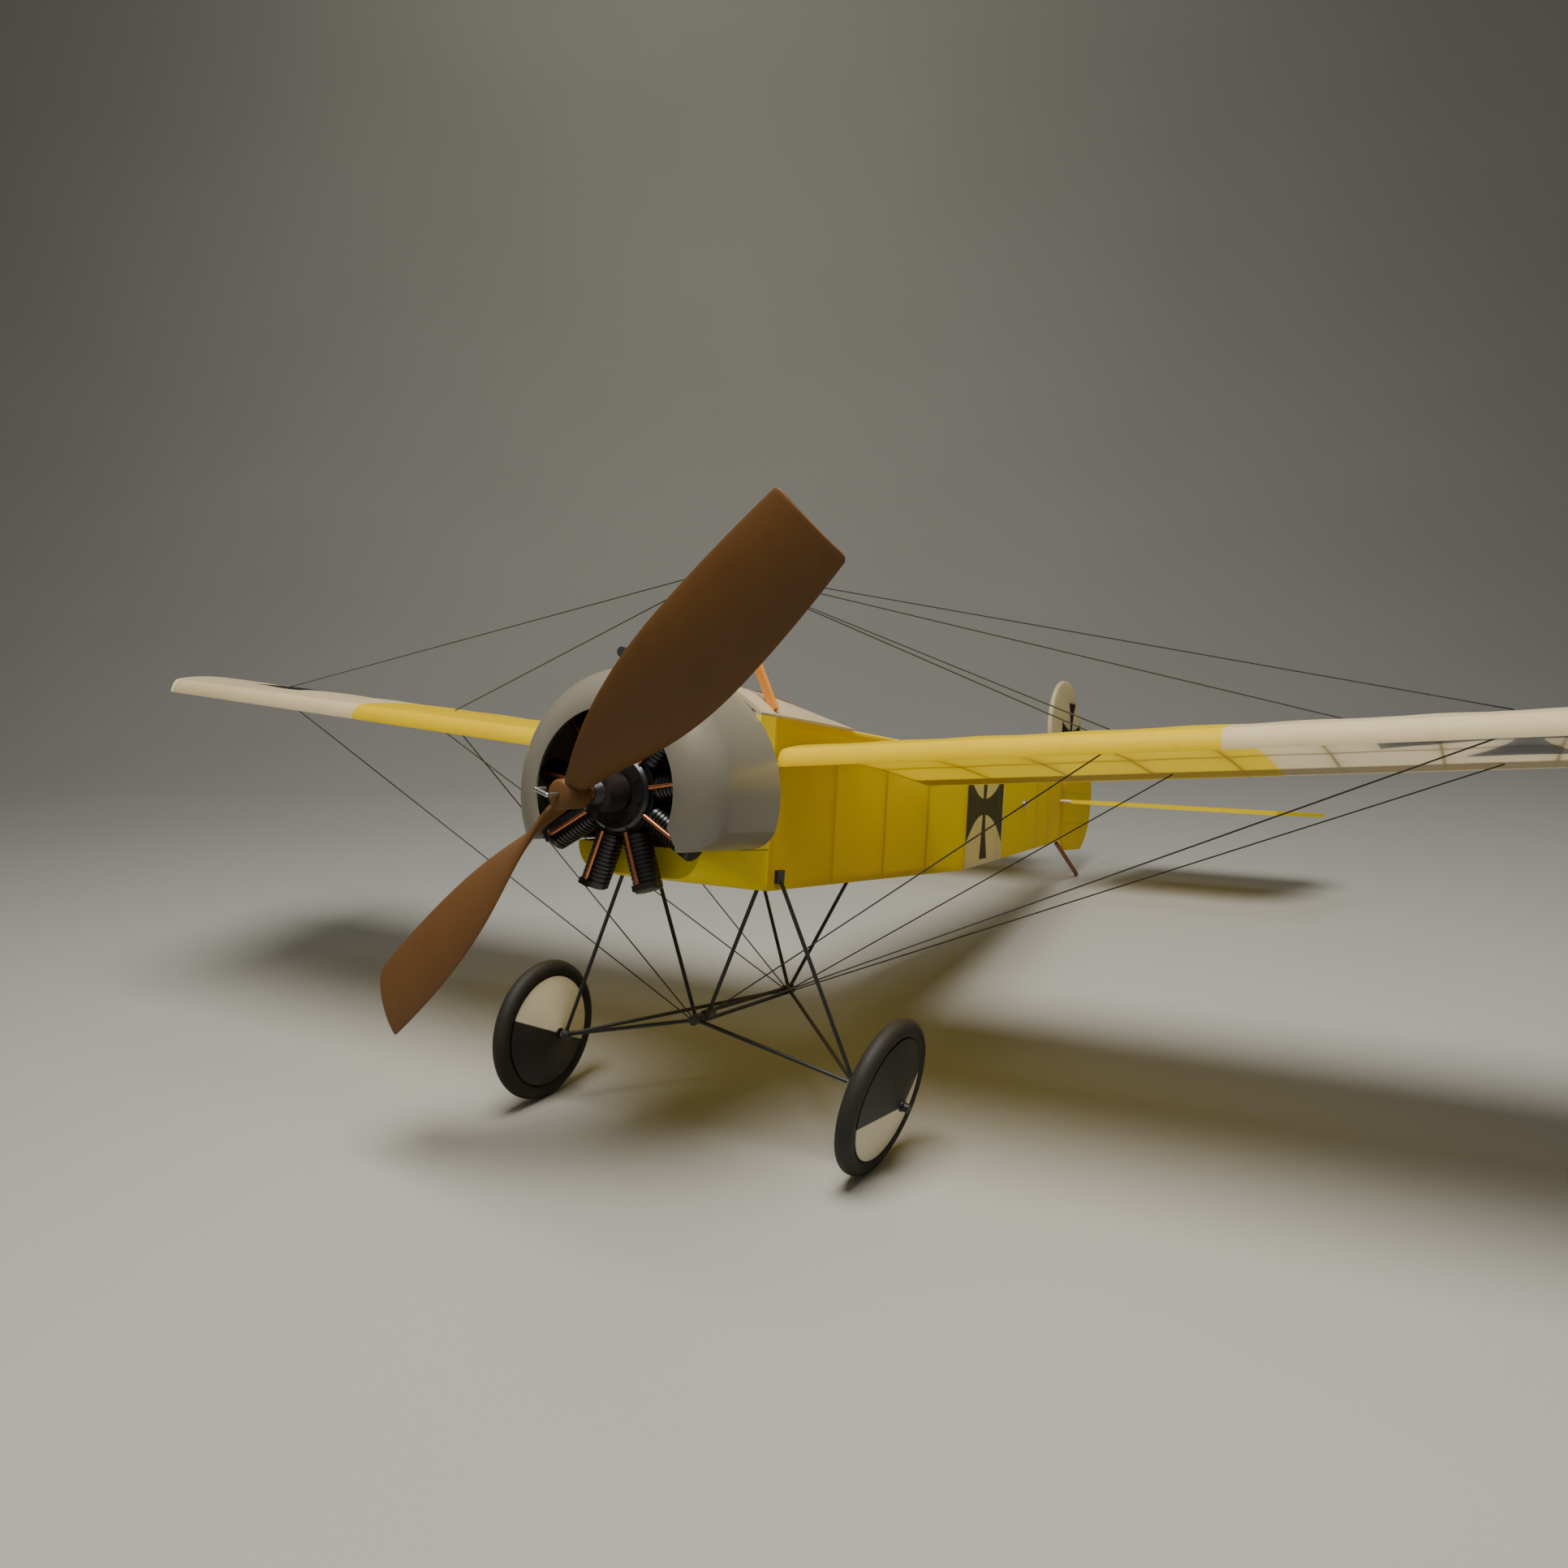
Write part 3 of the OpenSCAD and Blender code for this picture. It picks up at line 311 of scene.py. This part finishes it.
def side_tissue(name):
    """Yellow side with a cream panel and a cross on it."""
    def colours(m, yellow):
        x, y, z = m.airframe()
        panel = (y - SIDE_PANEL_Y0).ramp(-0.5, 0.5).min((y - SIDE_PANEL_Y1).ramp(0.5, -0.5))
        u, v = y - SIDE_CROSS_Y, z - SIDE_CROSS_Z
        flat = u.abs()
        upright = (flat - 3.2 - v * v * 0.0065).ramp(0.5, -0.5)
        upright = upright.min((v - 12.5).ramp(0.4, -0.4)).min((v + 28.5).ramp(-0.4, 0.4))
        level = (v.abs() - 4.5 - u * u * 0.0092).ramp(0.5, -0.5)
        cross = upright.max(level.min((flat - 42.0).ramp(0.4, -0.4)))
        cream = m.blend(m.noise(30.0) * 0.8, CREAM, CREAM_SHADE)
        painted = m.blend(panel, yellow, cream)
        painted = m.blend(cross.min(panel), painted, BLACK)
        # Painted shade: dark lines over the uprights and along the rail behind the tissue.
        sticks = stick_shade_lines(y, STATIONS, 1.7) * 0.2
        slope = (TOP_Z0 - TOP_Z1) / (STERN_Y - BODY_Y0)
        rails = stick_shade_lines(z - top_z(BODY_Y0) + (y - BODY_Y0) * slope, [-2.0], 1.6)
        return m.blend(sticks.max(rails * 0.2), painted, STICK_PAINTED_SHADE)
    return tissue(name, colours)


def plain_tissue(name, line_axis=1, lines=STATIONS, share=0.5):
    """Plain yellow with faint dark lines across one axis of the airframe: painted shade of the sticks
    behind the tissue.
    """
    def colours(m, yellow):
        value = m.airframe()[line_axis]
        return m.blend(stick_shade_lines(value, lines, 1.7) * 0.15, yellow, STICK_PAINTED_SHADE)
    return tissue(name, colours, share=share)


def rudder_tissue():
    """Yellow below, cream above with a cross."""
    def colours(m, yellow):
        x, y, z = m.airframe()
        u, v = y - RUDDER_CROSS_Y, z - RUDDER_CROSS_Z
        cross = cross_mask(u, v, 22.0, 2.2, 0.012)
        cream = m.blend(m.noise(20.0) * 0.8, CREAM, CREAM_SHADE)
        top = m.blend(cross, cream, BLACK)
        both = m.blend((z - RUDDER_BREAK_Z).ramp(-0.4, 0.4), yellow, top)
        # Painted shade: dark lines over the ribs and the post behind the tissue.
        ribs = stick_shade_lines(z, [-14.0, 8.0, 24.0], 1.2).max(stick_shade_lines(y, [538.0], 1.5)) * 0.25
        return m.blend(ribs, both, STICK_PAINTED_SHADE)
    return tissue("rudder_tissue", colours)


# ---------- the other materials ----------
def wood(name, pale, dark, axis="Y", rough=0.55):
    """Grain drawn out along one axis."""
    m = Material(name, roughness=rough, Specular_IOR_Level=0.35)
    grain = m.noise(1.4, 4.0, 0.6, m.stretched(axis, 0.06))
    cloud = m.noise(14.0)
    m.colour(m.blend(grain * 0.75 + cloud * 0.25, pale, dark))
    m.rough(grain * 0.25 + (rough - 0.12))
    m.bump(grain, 0.12, 0.5)
    return m.mat


def painted(name, colour, dark, rough, grain_mm=0.8, depth=0.05, cloud_mm=25.0, **fixed):
    """Paint with a fine grain and cloudy shade."""
    m = Material(name, roughness=rough, **fixed)
    fine = m.noise(grain_mm, 3.0)
    cloud = m.noise(cloud_mm, 3.0)
    m.colour(m.blend(cloud * 0.8 + fine * 0.2, colour, dark))
    m.rough(cloud * 0.14 + fine * 0.08 + (rough - 0.11))
    m.bump(fine * 0.6 + cloud, depth, 0.6)
    return m.mat


def metal(name, colour, dark, rough, axis="Y"):
    """Drawn metal with faint stains."""
    m = Material(name, roughness=rough, metallic=1.0)
    draw = m.noise(0.5, 3.0, 0.6, m.stretched(axis, 0.05))
    stain = m.noise(6.0, 4.0, 0.65)
    m.colour(m.blend(stain, colour, dark))
    m.rough(draw * 0.2 + stain * 0.12 + (rough - 0.15))
    m.bump(draw, 0.02, 0.4)
    return m.mat


def thread_wrap(name, colour, axis, pitch=0.5):
    """Fine turns of thread across an axis, darkened between the turns as painted shade in the grooves."""
    m = Material(name, roughness=0.6, Sheen_Weight=0.3)
    turns = (m.along(axis, (0, 0, 0)) * (2 * math.pi / pitch)).sin() * 0.5 + 0.5
    fuzz = m.noise(0.6, 3.0)
    # Painted shade: the colour falls to about a third of itself between the turns.
    m.colour(m.blend(turns * 0.7 + fuzz * 0.3, tuple(c * 0.35 for c in colour), colour))
    m.rough(fuzz * 0.2 + 0.5)
    m.bump(turns + fuzz * 0.3, 0.12, 0.8)
    return m.mat


COWL = painted("cowl_paint", (0.235, 0.215, 0.16), (0.19, 0.17, 0.125), 0.34, 0.9, 0.035, 30.0,
               Coat_Weight=0.25, Coat_Roughness=0.25)
DECK = painted("deck_paint", (0.56, 0.46, 0.28), (0.46, 0.37, 0.22), 0.42, 0.9, 0.05, 25.0)
YELLOW_PAINT = painted("yellow_paint", YELLOW, YELLOW_DEEP, 0.45, 1.0, 0.10, 25.0)
CREAM_PAINT = painted("cream_paint", CREAM, (0.70, 0.61, 0.38), 0.45, 1.0, 0.10, 20.0)
BALSA = wood("balsa_long", (0.82, 0.68, 0.46), (0.66, 0.49, 0.28))
BALSA_X = wood("balsa_cross", (0.82, 0.68, 0.46), (0.66, 0.49, 0.28), "X")
SKID_WOOD = wood("stained_wood", (0.36, 0.14, 0.045), (0.17, 0.06, 0.02), "Y", 0.42)
CABANE_WOOD = wood("orange_wood", (0.72, 0.29, 0.05), (0.50, 0.17, 0.02), "Z", 0.38)
ENGINE = painted("engine_black", (0.008, 0.0075, 0.008), (0.018, 0.016, 0.015), 0.3, 0.6, 0.05, 5.0,
                 Coat_Weight=0.3, Coat_Roughness=0.2)
WIRE = painted("black_wire", (0.010, 0.010, 0.010), (0.03, 0.028, 0.026), 0.38, 0.5, 0.04, 6.0)
GUN = painted("gun_black", (0.02, 0.02, 0.022), (0.05, 0.048, 0.045), 0.4, 0.5, 0.04, 6.0)
TYRE = painted("tyre_rubber", (0.012, 0.010, 0.0075), (0.024, 0.019, 0.013), 0.66, 0.7, 0.10, 9.0)
COPPER = metal("copper", (0.86, 0.36, 0.16), (0.50, 0.17, 0.07), 0.36, "Z")
STEEL = metal("steel", (0.62, 0.61, 0.58), (0.42, 0.40, 0.37), 0.32)
BRASS = metal("brass", (0.80, 0.58, 0.24), (0.55, 0.36, 0.12), 0.3)
ALU = metal("aluminium", (0.78, 0.79, 0.80), (0.6, 0.6, 0.6), 0.35, "X")
LEATHER = painted("leather", (0.23, 0.11, 0.05), (0.12, 0.055, 0.025), 0.55, 1.2, 0.25, 8.0)
RUBBER = painted("tan_rubber", (0.52, 0.38, 0.20), (0.40, 0.28, 0.14), 0.6, 1.0, 0.1, 12.0)
PLUG = painted("plug_plastic", (0.014, 0.012, 0.012), (0.035, 0.028, 0.025), 0.3, 0.7, 0.04, 5.0)
THREAD = thread_wrap("rigging_thread", (0.035, 0.034, 0.031), (1, 0, 0), 0.9)
BINDING = thread_wrap("thread_binding", (0.035, 0.032, 0.03), direction(0, 1, 0), 0.55)


def prop_paint():
    """Moulded brown blade: satin, finely pebbled, with a few scuffs along the blade."""
    m = Material("propeller_brown", roughness=0.48, Specular_IOR_Level=0.25)
    fine = m.noise(0.7, 4.0, 0.6)
    cloud = m.noise(22.0, 3.0)
    flow = m.noise(4.0, 3.0, 0.6, m.stretched("Z", 0.2), 0.8)
    m.colour(m.blend(cloud * 0.6 + flow * 0.4, (0.165, 0.075, 0.02), (0.115, 0.05, 0.013)))
    m.rough(fine * 0.12 + flow * 0.16 + 0.34)
    m.bump(fine + flow * 0.6, 0.035, 0.7)
    return m.mat


PROP = prop_paint()


def disc_paint(s, hub, edge):
    """Wheel disc in two halves, cream and black, parted by a straight line through the hub."""
    m = Material(f"disc_{'port' if s > 0 else 'starboard'}", roughness=0.45)
    n = direction(*edge)
    half = m.along(n, at(*hub)).ramp(-0.3, 0.3)
    cloud = m.noise(9.0)
    cream = m.blend(cloud, CREAM, (0.74, 0.67, 0.48))
    black = m.blend(cloud, BLACK, (0.03, 0.028, 0.026))
    m.colour(m.blend(half, cream, black))
    m.rough(cloud * 0.25 + 0.32)
    m.bump(m.noise(1.2, 4.0), 0.08, 0.5)
    return m.mat


HUB_PORT, HUB_STARBOARD = (80, 71, -105.784), (-80, 71, -105.151)
MATERIALS = {
    COWL: ["cowl"], DECK: ["front_deck"], YELLOW_PAINT: ["nose_block", "nose_fairing"],
    BALSA: ["firewall", "main_former", "longerons", "wing_ribs_port", "wing_ribs_starboard"],
    BALSA_X: ["fuselage_spacers", "sternpost", "elevator_spar", "leading_edge_port",
              "leading_edge_starboard", "trailing_edge_port", "trailing_edge_starboard",
              "wing_spars_port", "wing_spars_starboard"],
    CREAM_PAINT: ["wing_tip_port", "wing_tip_starboard"],
    ENGINE: ["crankcase", "engine_cylinders"], COPPER: ["push_rods"], PLUG: ["nose_plug"],
    STEEL: ["prop_shaft", "rudder_hinges"],
    BRASS: ["thrust_washers"], RUBBER: ["rubber_motor"], ALU: ["motor_peg"],
    LEATHER: ["cockpit_rim"], GUN: ["dummy_gun"], CABANE_WOOD: ["cabane_struts"],
    BINDING: ["cabane_binding", "gear_bindings"], THREAD: ["landing_wires", "flying_wires"],
    WIRE: ["gear_vee_struts", "gear_keel", "gear_radius_rods", "gear_side_struts", "wheel_retainers",
           "axle_stubs", "wheel_hub_port", "wheel_hub_starboard"],
    TYRE: ["tyre_port", "tyre_starboard"], SKID_WOOD: ["tail_skid"],
    disc_paint(1, HUB_PORT, (0.216, -0.279, 0.936)): ["wheel_discs_port"],
    disc_paint(-1, HUB_STARBOARD, (-0.05, -0.312, -0.949)): ["wheel_discs_starboard"],
    plain_tissue("elevator_tissue", 0, [-150, -118, -86, -54, -22, 22, 54, 86, 118, 150], 0.4):
        ["elevator_port", "elevator_starboard"],
    rudder_tissue(): ["rudder"],
}
for material, names in MATERIALS.items():
    for name in names:
        mesh = nodes[name].data
        mesh.materials.clear()
        mesh.materials.append(material)


def soften(name, width, segments=2, angle=35):
    """Rounds the hard edges of a CAD piece."""
    mod = nodes[name].modifiers.new("soften", "BEVEL")
    mod.width, mod.segments = width * MM, segments
    mod.limit_method, mod.angle_limit = "ANGLE", math.radians(angle)
    mod.harden_normals = True


for name, width in {"elevator_port": 0.9, "elevator_starboard": 0.9, "rudder": 0.9,
                    "dummy_gun": 0.35, "cabane_binding": 0.8, "cabane_struts": 0.4,
                    "wing_tip_port": 0.7, "wing_tip_starboard": 0.7,
                    "cockpit_rim": 0.3, "gear_side_struts": 0.25}.items():
    soften(name, width)


# ---------- pieces made here ----------
def make(name, points, faces, material, body, slot, *stands_for, smooth=True):
    mesh = bpy.data.meshes.new(name)
    mesh.from_pydata([tuple(p) for p in points], [], faces)
    mesh.polygons.foreach_set("use_smooth", [smooth] * len(mesh.polygons))
    for mat in material if isinstance(material, list) else [material]:
        mesh.materials.append(mat)
    mesh.update()
    obj = bpy.data.objects.new(name, mesh)
    bpy.context.scene.collection.objects.link(obj)
    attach(obj, body)
    if stands_for:
        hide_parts(*stands_for)
    return obj


def grid_faces(rows, cols, wrap=False):
    span = cols if wrap else cols - 1
    return [(i * cols + j, i * cols + (j + 1) % cols, (i + 1) * cols + (j + 1) % cols, (i + 1) * cols + j)
            for i in range(rows - 1) for j in range(span)]


def bay_sag(value, lines):
    """0 on the sticks and 1 halfway between two of them."""
    for a, b in zip(lines, lines[1:]):
        if a <= value <= b:
            return math.sin(math.pi * (value - a) / (b - a)) ** 2
    return 0.0


# ---------- wing skins ----------
CREST = 0.75        # power that sets how far forward the crest of the section is
NOSE_ROUND = 0.02   # part of the chord in which the nose curves over
EDGE_TOP, EDGE_LOW = 0.7, 0.3


def upper(t):
    """Height of the upper surface over the chord line at a part of the chord."""
    nose = NOSE_RISE * (1 - t) * min(1, math.sqrt(t / NOSE_ROUND))
    return nose + CAMBER_TOP * abs(math.sin(math.pi * t ** CREST)) + EDGE_TOP


def lower(t):
    """Height of the lower surface over the chord line at a part of the chord."""
    return CAMBER_LOW * math.sin(math.pi * t ** CREST) - EDGE_LOW


def wing_point(s, c, h, span):
    """A point of one half wing from its place along the chord, height and half span."""
    y = c * math.cos(INCIDENCE) + h * math.sin(INCIDENCE)
    z = -c * math.sin(INCIDENCE) + h * math.cos(INCIDENCE)
    x = span * math.cos(DIHEDRAL) - z * math.sin(DIHEDRAL)
    return at(s * x, y + WING_Y, span * math.sin(DIHEDRAL) + z * math.cos(DIHEDRAL) + WING_Z)


TOP_STEPS, LOW_STEPS, BAY_STEPS = 30, 18, 8
SECTION = [((i / TOP_STEPS) ** 1.6, 1) for i in range(TOP_STEPS + 1)]
SECTION += [(1 - i / LOW_STEPS, 0) for i in range(LOW_STEPS + 1)]
SKIN_SAG = 0.3      # dip of the skin halfway between two ribs
TIP_STRIP = 2.25    # the skin ends this far inside the tip
TIP_ROWS = 10


def wing_skin(s):
    """The tissue of one half wing: a closed strip round the section, from the root to the tip."""
    side = "port" if s > 0 else "starboard"
    levels = [i / BAY_STEPS for i in range(BAY_STEPS * (RIBS - 1) + 1)]
    inner, outer = RIB_LINES[0], RIB_LINES[-1]
    spans = [(ROOT, 0.0)] + [(mix(inner, outer, v / (RIBS - 1)), 0.0) for v in levels]
    spans += [(outer, k / TIP_ROWS) for k in range(1, TIP_ROWS + 1)]
    points = []
    for span, past in spans:
        sag = SKIN_SAG * bay_sag(span, RIB_LINES)
        for t, is_top in SECTION:
            edge = LE_LEN + (TE_LEN - LE_LEN) * t - TIP_STRIP
            place = mix(span, edge, past)
            cling = smoothstep(0.035, 0.16, t) * (1 - smoothstep(0.74, 0.87, t))
            drop = sag * cling * (1.0 if is_top else -0.7)
            ripple = 0.12 * cling * noise.noise(Vector((place / 6 * s, t * 3, is_top * 7.0)))
            h = (upper(t) if is_top else lower(t)) - drop + ripple
            points.append(wing_point(s, t * CHORD, h, place))
    cols = len(SECTION)
    faces = grid_faces(len(spans), cols, wrap=True)
    if s < 0:
        faces = [f[::-1] for f in faces]
    obj = make(f"wing_tissue_{side}", points, faces, [wing_tissue(s, True), wing_tissue(s, False)],
               "airframe", "yellow_tissue", f"wing_covering_{side}")
    for face, polygon in zip(range(len(faces)), obj.data.polygons):
        polygon.material_index = 0 if face % cols < TOP_STEPS else 1
    obj.data.set_sharp_from_angle(angle=math.radians(40))


wing_skin(1)
wing_skin(-1)


# ---------- fuselage skins ----------
PANEL_Y0, DECK_BACK, SHEET = BODY_Y0 + 0.05, 122.0, 0.4
PANEL_STEP, PANEL_ACROSS = 3.0, 14


def panel(name, edge_a, edge_b, inwards, y0, y1, material, covers, lines=STATIONS, sag=0.8):
    """Tissue stretched between two edge curves of y, drawn in between the sticks."""
    steps, across = int((y1 - y0) / PANEL_STEP), PANEL_ACROSS
    points = []
    for i in range(steps + 1):
        y = mix(y0, y1, i / steps)
        a, b = edge_a(y), edge_b(y)
        width = (Vector(a) - Vector(b)).length
        for j in range(across + 1):
            v = j / across
            depth = min(sag, width * 0.02) * bay_sag(y, lines) * math.sin(math.pi * v) ** 0.7
            ripple = noise.noise(Vector((y / 9, v * 5, inwards[0] * 3 + inwards[2])))
            depth += 0.10 * ripple * math.sin(math.pi * v)
            p = Vector(a).lerp(Vector(b), v) + Vector(inwards) * max(depth, 0.0)
            points.append(at(*p))
    obj = make(name, points, grid_faces(steps + 1, across + 1), material,
               "airframe", "yellow_tissue", covers)
    mesh = obj.data
    if mesh.polygons[0].normal.dot(ATTITUDE.to_3x3() @ Vector(inwards)) > 0:
        mesh.flip_normals()


for s, side in ((1, "port"), (-1, "starboard")):
    panel(f"side_tissue_{side}", lambda y: (s * half_width(y), y, bottom_z(y)),
          lambda y: (s * half_width(y), y, top_z(y)), (-s, 0, 0), PANEL_Y0, STERN_Y,
          side_tissue(f"side_tissue_{side}"), f"side_covering_{side}")
panel("under_tissue", lambda y: (half_width(y) - SHEET, y, bottom_z(y)),
      lambda y: (SHEET - half_width(y), y, bottom_z(y)), (0, 0, 1), PANEL_Y0, STERN_Y,
      plain_tissue("under_tissue"), "bottom_covering")
panel("top_tissue", lambda y: (half_width(y), y, top_z(y) + SHEET),
      lambda y: (-half_width(y), y, top_z(y) + SHEET), (0, 0, -1), DECK_BACK + 0.2, STERN_Y,
      plain_tissue("top_tissue"), "rear_deck", [DECK_BACK] + STATIONS[3:])


# ---------- propeller ----------
PROP_TURN, PROP_R, PROP_HELIX, PROP_CHORD, PROP_Y = math.radians(47.6), 125.0, 39.0, 35.0, -16.0
TIP_CORNER, TIP_START = 2.0, 0.985
HUB_R, WIDEST = 4.0, 0.55
BLADE_SIDES, BLADE_ROWS, HUB_SIDES = 28, 60, 40


def blade_width(u):
    """Width of the blade as a part of its greatest, from the hub (0) to the tip (1)."""
    if u < WIDEST:
        return 0.3 + 0.7 * math.sin(math.pi / 2 * (u / WIDEST) ** 0.8)
    return 1 - 0.14 * ((u - WIDEST) / (1 - WIDEST)) ** 2


def blade_ring(u):
    """Points round the blade's section, from the hub (0) to the tip (1)."""
    r = mix(HUB_R, PROP_R, u)
    a = math.atan(PROP_HELIX / r)
    c = PROP_CHORD * blade_width(u)
    past = min(max((u - TIP_START) / (1 - TIP_START), 0.0), 1.0)
    c -= 2 * TIP_CORNER * (1 - math.sqrt(1 - past * past))
    h = mix(1.9, 0.5, u ** 0.6)
    ring = []
    for k in range(BLADE_SIDES):
        t = 2 * math.pi * k / BLADE_SIDES
        p = math.copysign(abs(math.cos(t)) ** 0.8, math.cos(t)) * c / 2
        q = math.sin(t) * h + 0.06 * c * (1 - (2 * p / c) ** 2) - 0.03 * c
        ring.append((p * math.cos(a) + q * math.sin(a), p * math.sin(a) - q * math.cos(a), r))
    return ring


def propeller():
    """Two blades and a turned hub, on the tilted thrust line."""
    parts = [i / BLADE_ROWS * TIP_START for i in range(BLADE_ROWS + 1)]
    parts += [mix(TIP_START, 1, math.sin(math.pi / 16 * i)) for i in range(1, 9)]
    points, faces = [], []
    for turn in (0, math.pi):
        spin = THRUST @ Matrix.Translation((0, PROP_Y, 0)) @ Matrix.Rotation(PROP_TURN + turn, 4, "Y")
        base = len(points)
        for u in parts:
            points += [at(*(spin @ Vector(p))) for p in blade_ring(u)]
        faces += [tuple(base + i for i in f[::-1])
                  for f in grid_faces(len(parts), BLADE_SIDES, wrap=True)]
        last = base + (len(parts) - 1) * BLADE_SIDES
        faces.append(tuple(last + k for k in range(BLADE_SIDES)))
    half_profile = [(0.9, 6.0), (3.9, 6.0), (4.7, 5.6), (5.2, 4.8)]
    profile = [(r, -y) for r, y in half_profile] + half_profile[::-1]
    base = len(points)
    for r, y in profile:
        for k in range(HUB_SIDES):
            t = 2 * math.pi * k / HUB_SIDES
            points.append(at(*(THRUST @ Vector((r * math.cos(t), PROP_Y + y, r * math.sin(t))))))
    faces += [tuple(base + i for i in f) for f in grid_faces(len(profile), HUB_SIDES, wrap=True)]
    obj = make("propeller_blades", points, faces, PROP, "propeller", "brown_plastic", "propeller")
    obj.data.set_sharp_from_angle(angle=math.radians(42))


propeller()

# ---------- floor, light and camera ----------
def floor():
    """Pale paper that rises behind the model in one sweep."""
    back, bend, rise, width = 0.8, 1.3, 3.0, 4.0
    rows = [(-2.6, 0.0), (back, 0.0)]
    rows += [(back + bend * math.sin(a), bend * (1 - math.cos(a)))
             for a in [math.pi / 2 * i / 32 for i in range(1, 33)]]
    rows.append((back + bend, rise))
    look = Matrix.Rotation(math.radians(30), 4, "Z")
    points = [look @ Vector((x, y, z)) for y, z in rows for x in (-width, width)]
    mesh = bpy.data.meshes.new("paper_sweep")
    mesh.from_pydata([tuple(p) for p in points], [], grid_faces(len(rows), 2))
    mesh.polygons.foreach_set("use_smooth", [True] * len(mesh.polygons))
    m = Material("paper", roughness=0.7, Specular_IOR_Level=0.2)
    cloud = m.noise(400.0, 2.0)
    m.colour(m.blend(cloud, (0.43, 0.427, 0.395), (0.38, 0.376, 0.345)))
    m.bump(m.noise(60.0, 2.0), 0.6, 0.25)
    mesh.materials.append(m.mat)
    obj = bpy.data.objects.new("paper_sweep", mesh)
    bpy.context.scene.collection.objects.link(obj)


floor()


def area_light(name, place, target, size, watts, colour):
    light = bpy.data.lights.new(name, "AREA")
    light.shape, light.size, light.energy, light.color = "DISK", size, watts, colour
    obj = bpy.data.objects.new(name, light)
    obj.location = place
    obj.rotation_euler = (Vector(target) - Vector(place)).to_track_quat("-Z", "Y").to_euler()
    bpy.context.scene.collection.objects.link(obj)


area_light("key", (0.12, -0.42, 1.0), (0.1, -0.1, 0.0), 0.6, 15.0, (1.0, 0.97, 0.92))
area_light("backdrop", (-0.7, 0.55, 2.0), (-1.0, 1.9, 0.4), 1.0, 7.5, (1.0, 0.95, 0.82))

world = bpy.data.worlds.new("studio")
world.use_nodes = True
world.node_tree.nodes["Background"].inputs[0].default_value = (0.64, 0.66, 0.68, 1)
world.node_tree.nodes["Background"].inputs[1].default_value = 0.19
bpy.context.scene.world = world

camera = bpy.data.cameras.new("camera")
camera.lens, camera.sensor_width, camera.sensor_fit = 27.957, 36.0, "HORIZONTAL"
camera.clip_start = 0.01
cam = bpy.data.objects.new("camera", camera)
forward = Vector((-0.49496, 0.85730, -0.14159))
right = Vector((0.86742, 0.49707, -0.02263))
up = Vector((-0.05098, 0.13402, 0.98967))
turn = Matrix((right, up, -forward)).transposed()
place = Vector((0.26332, -0.61687, 0.20600))
cam.matrix_world = Matrix.Translation(place) @ turn.to_4x4()
bpy.context.scene.collection.objects.link(cam)
bpy.context.scene.camera = cam
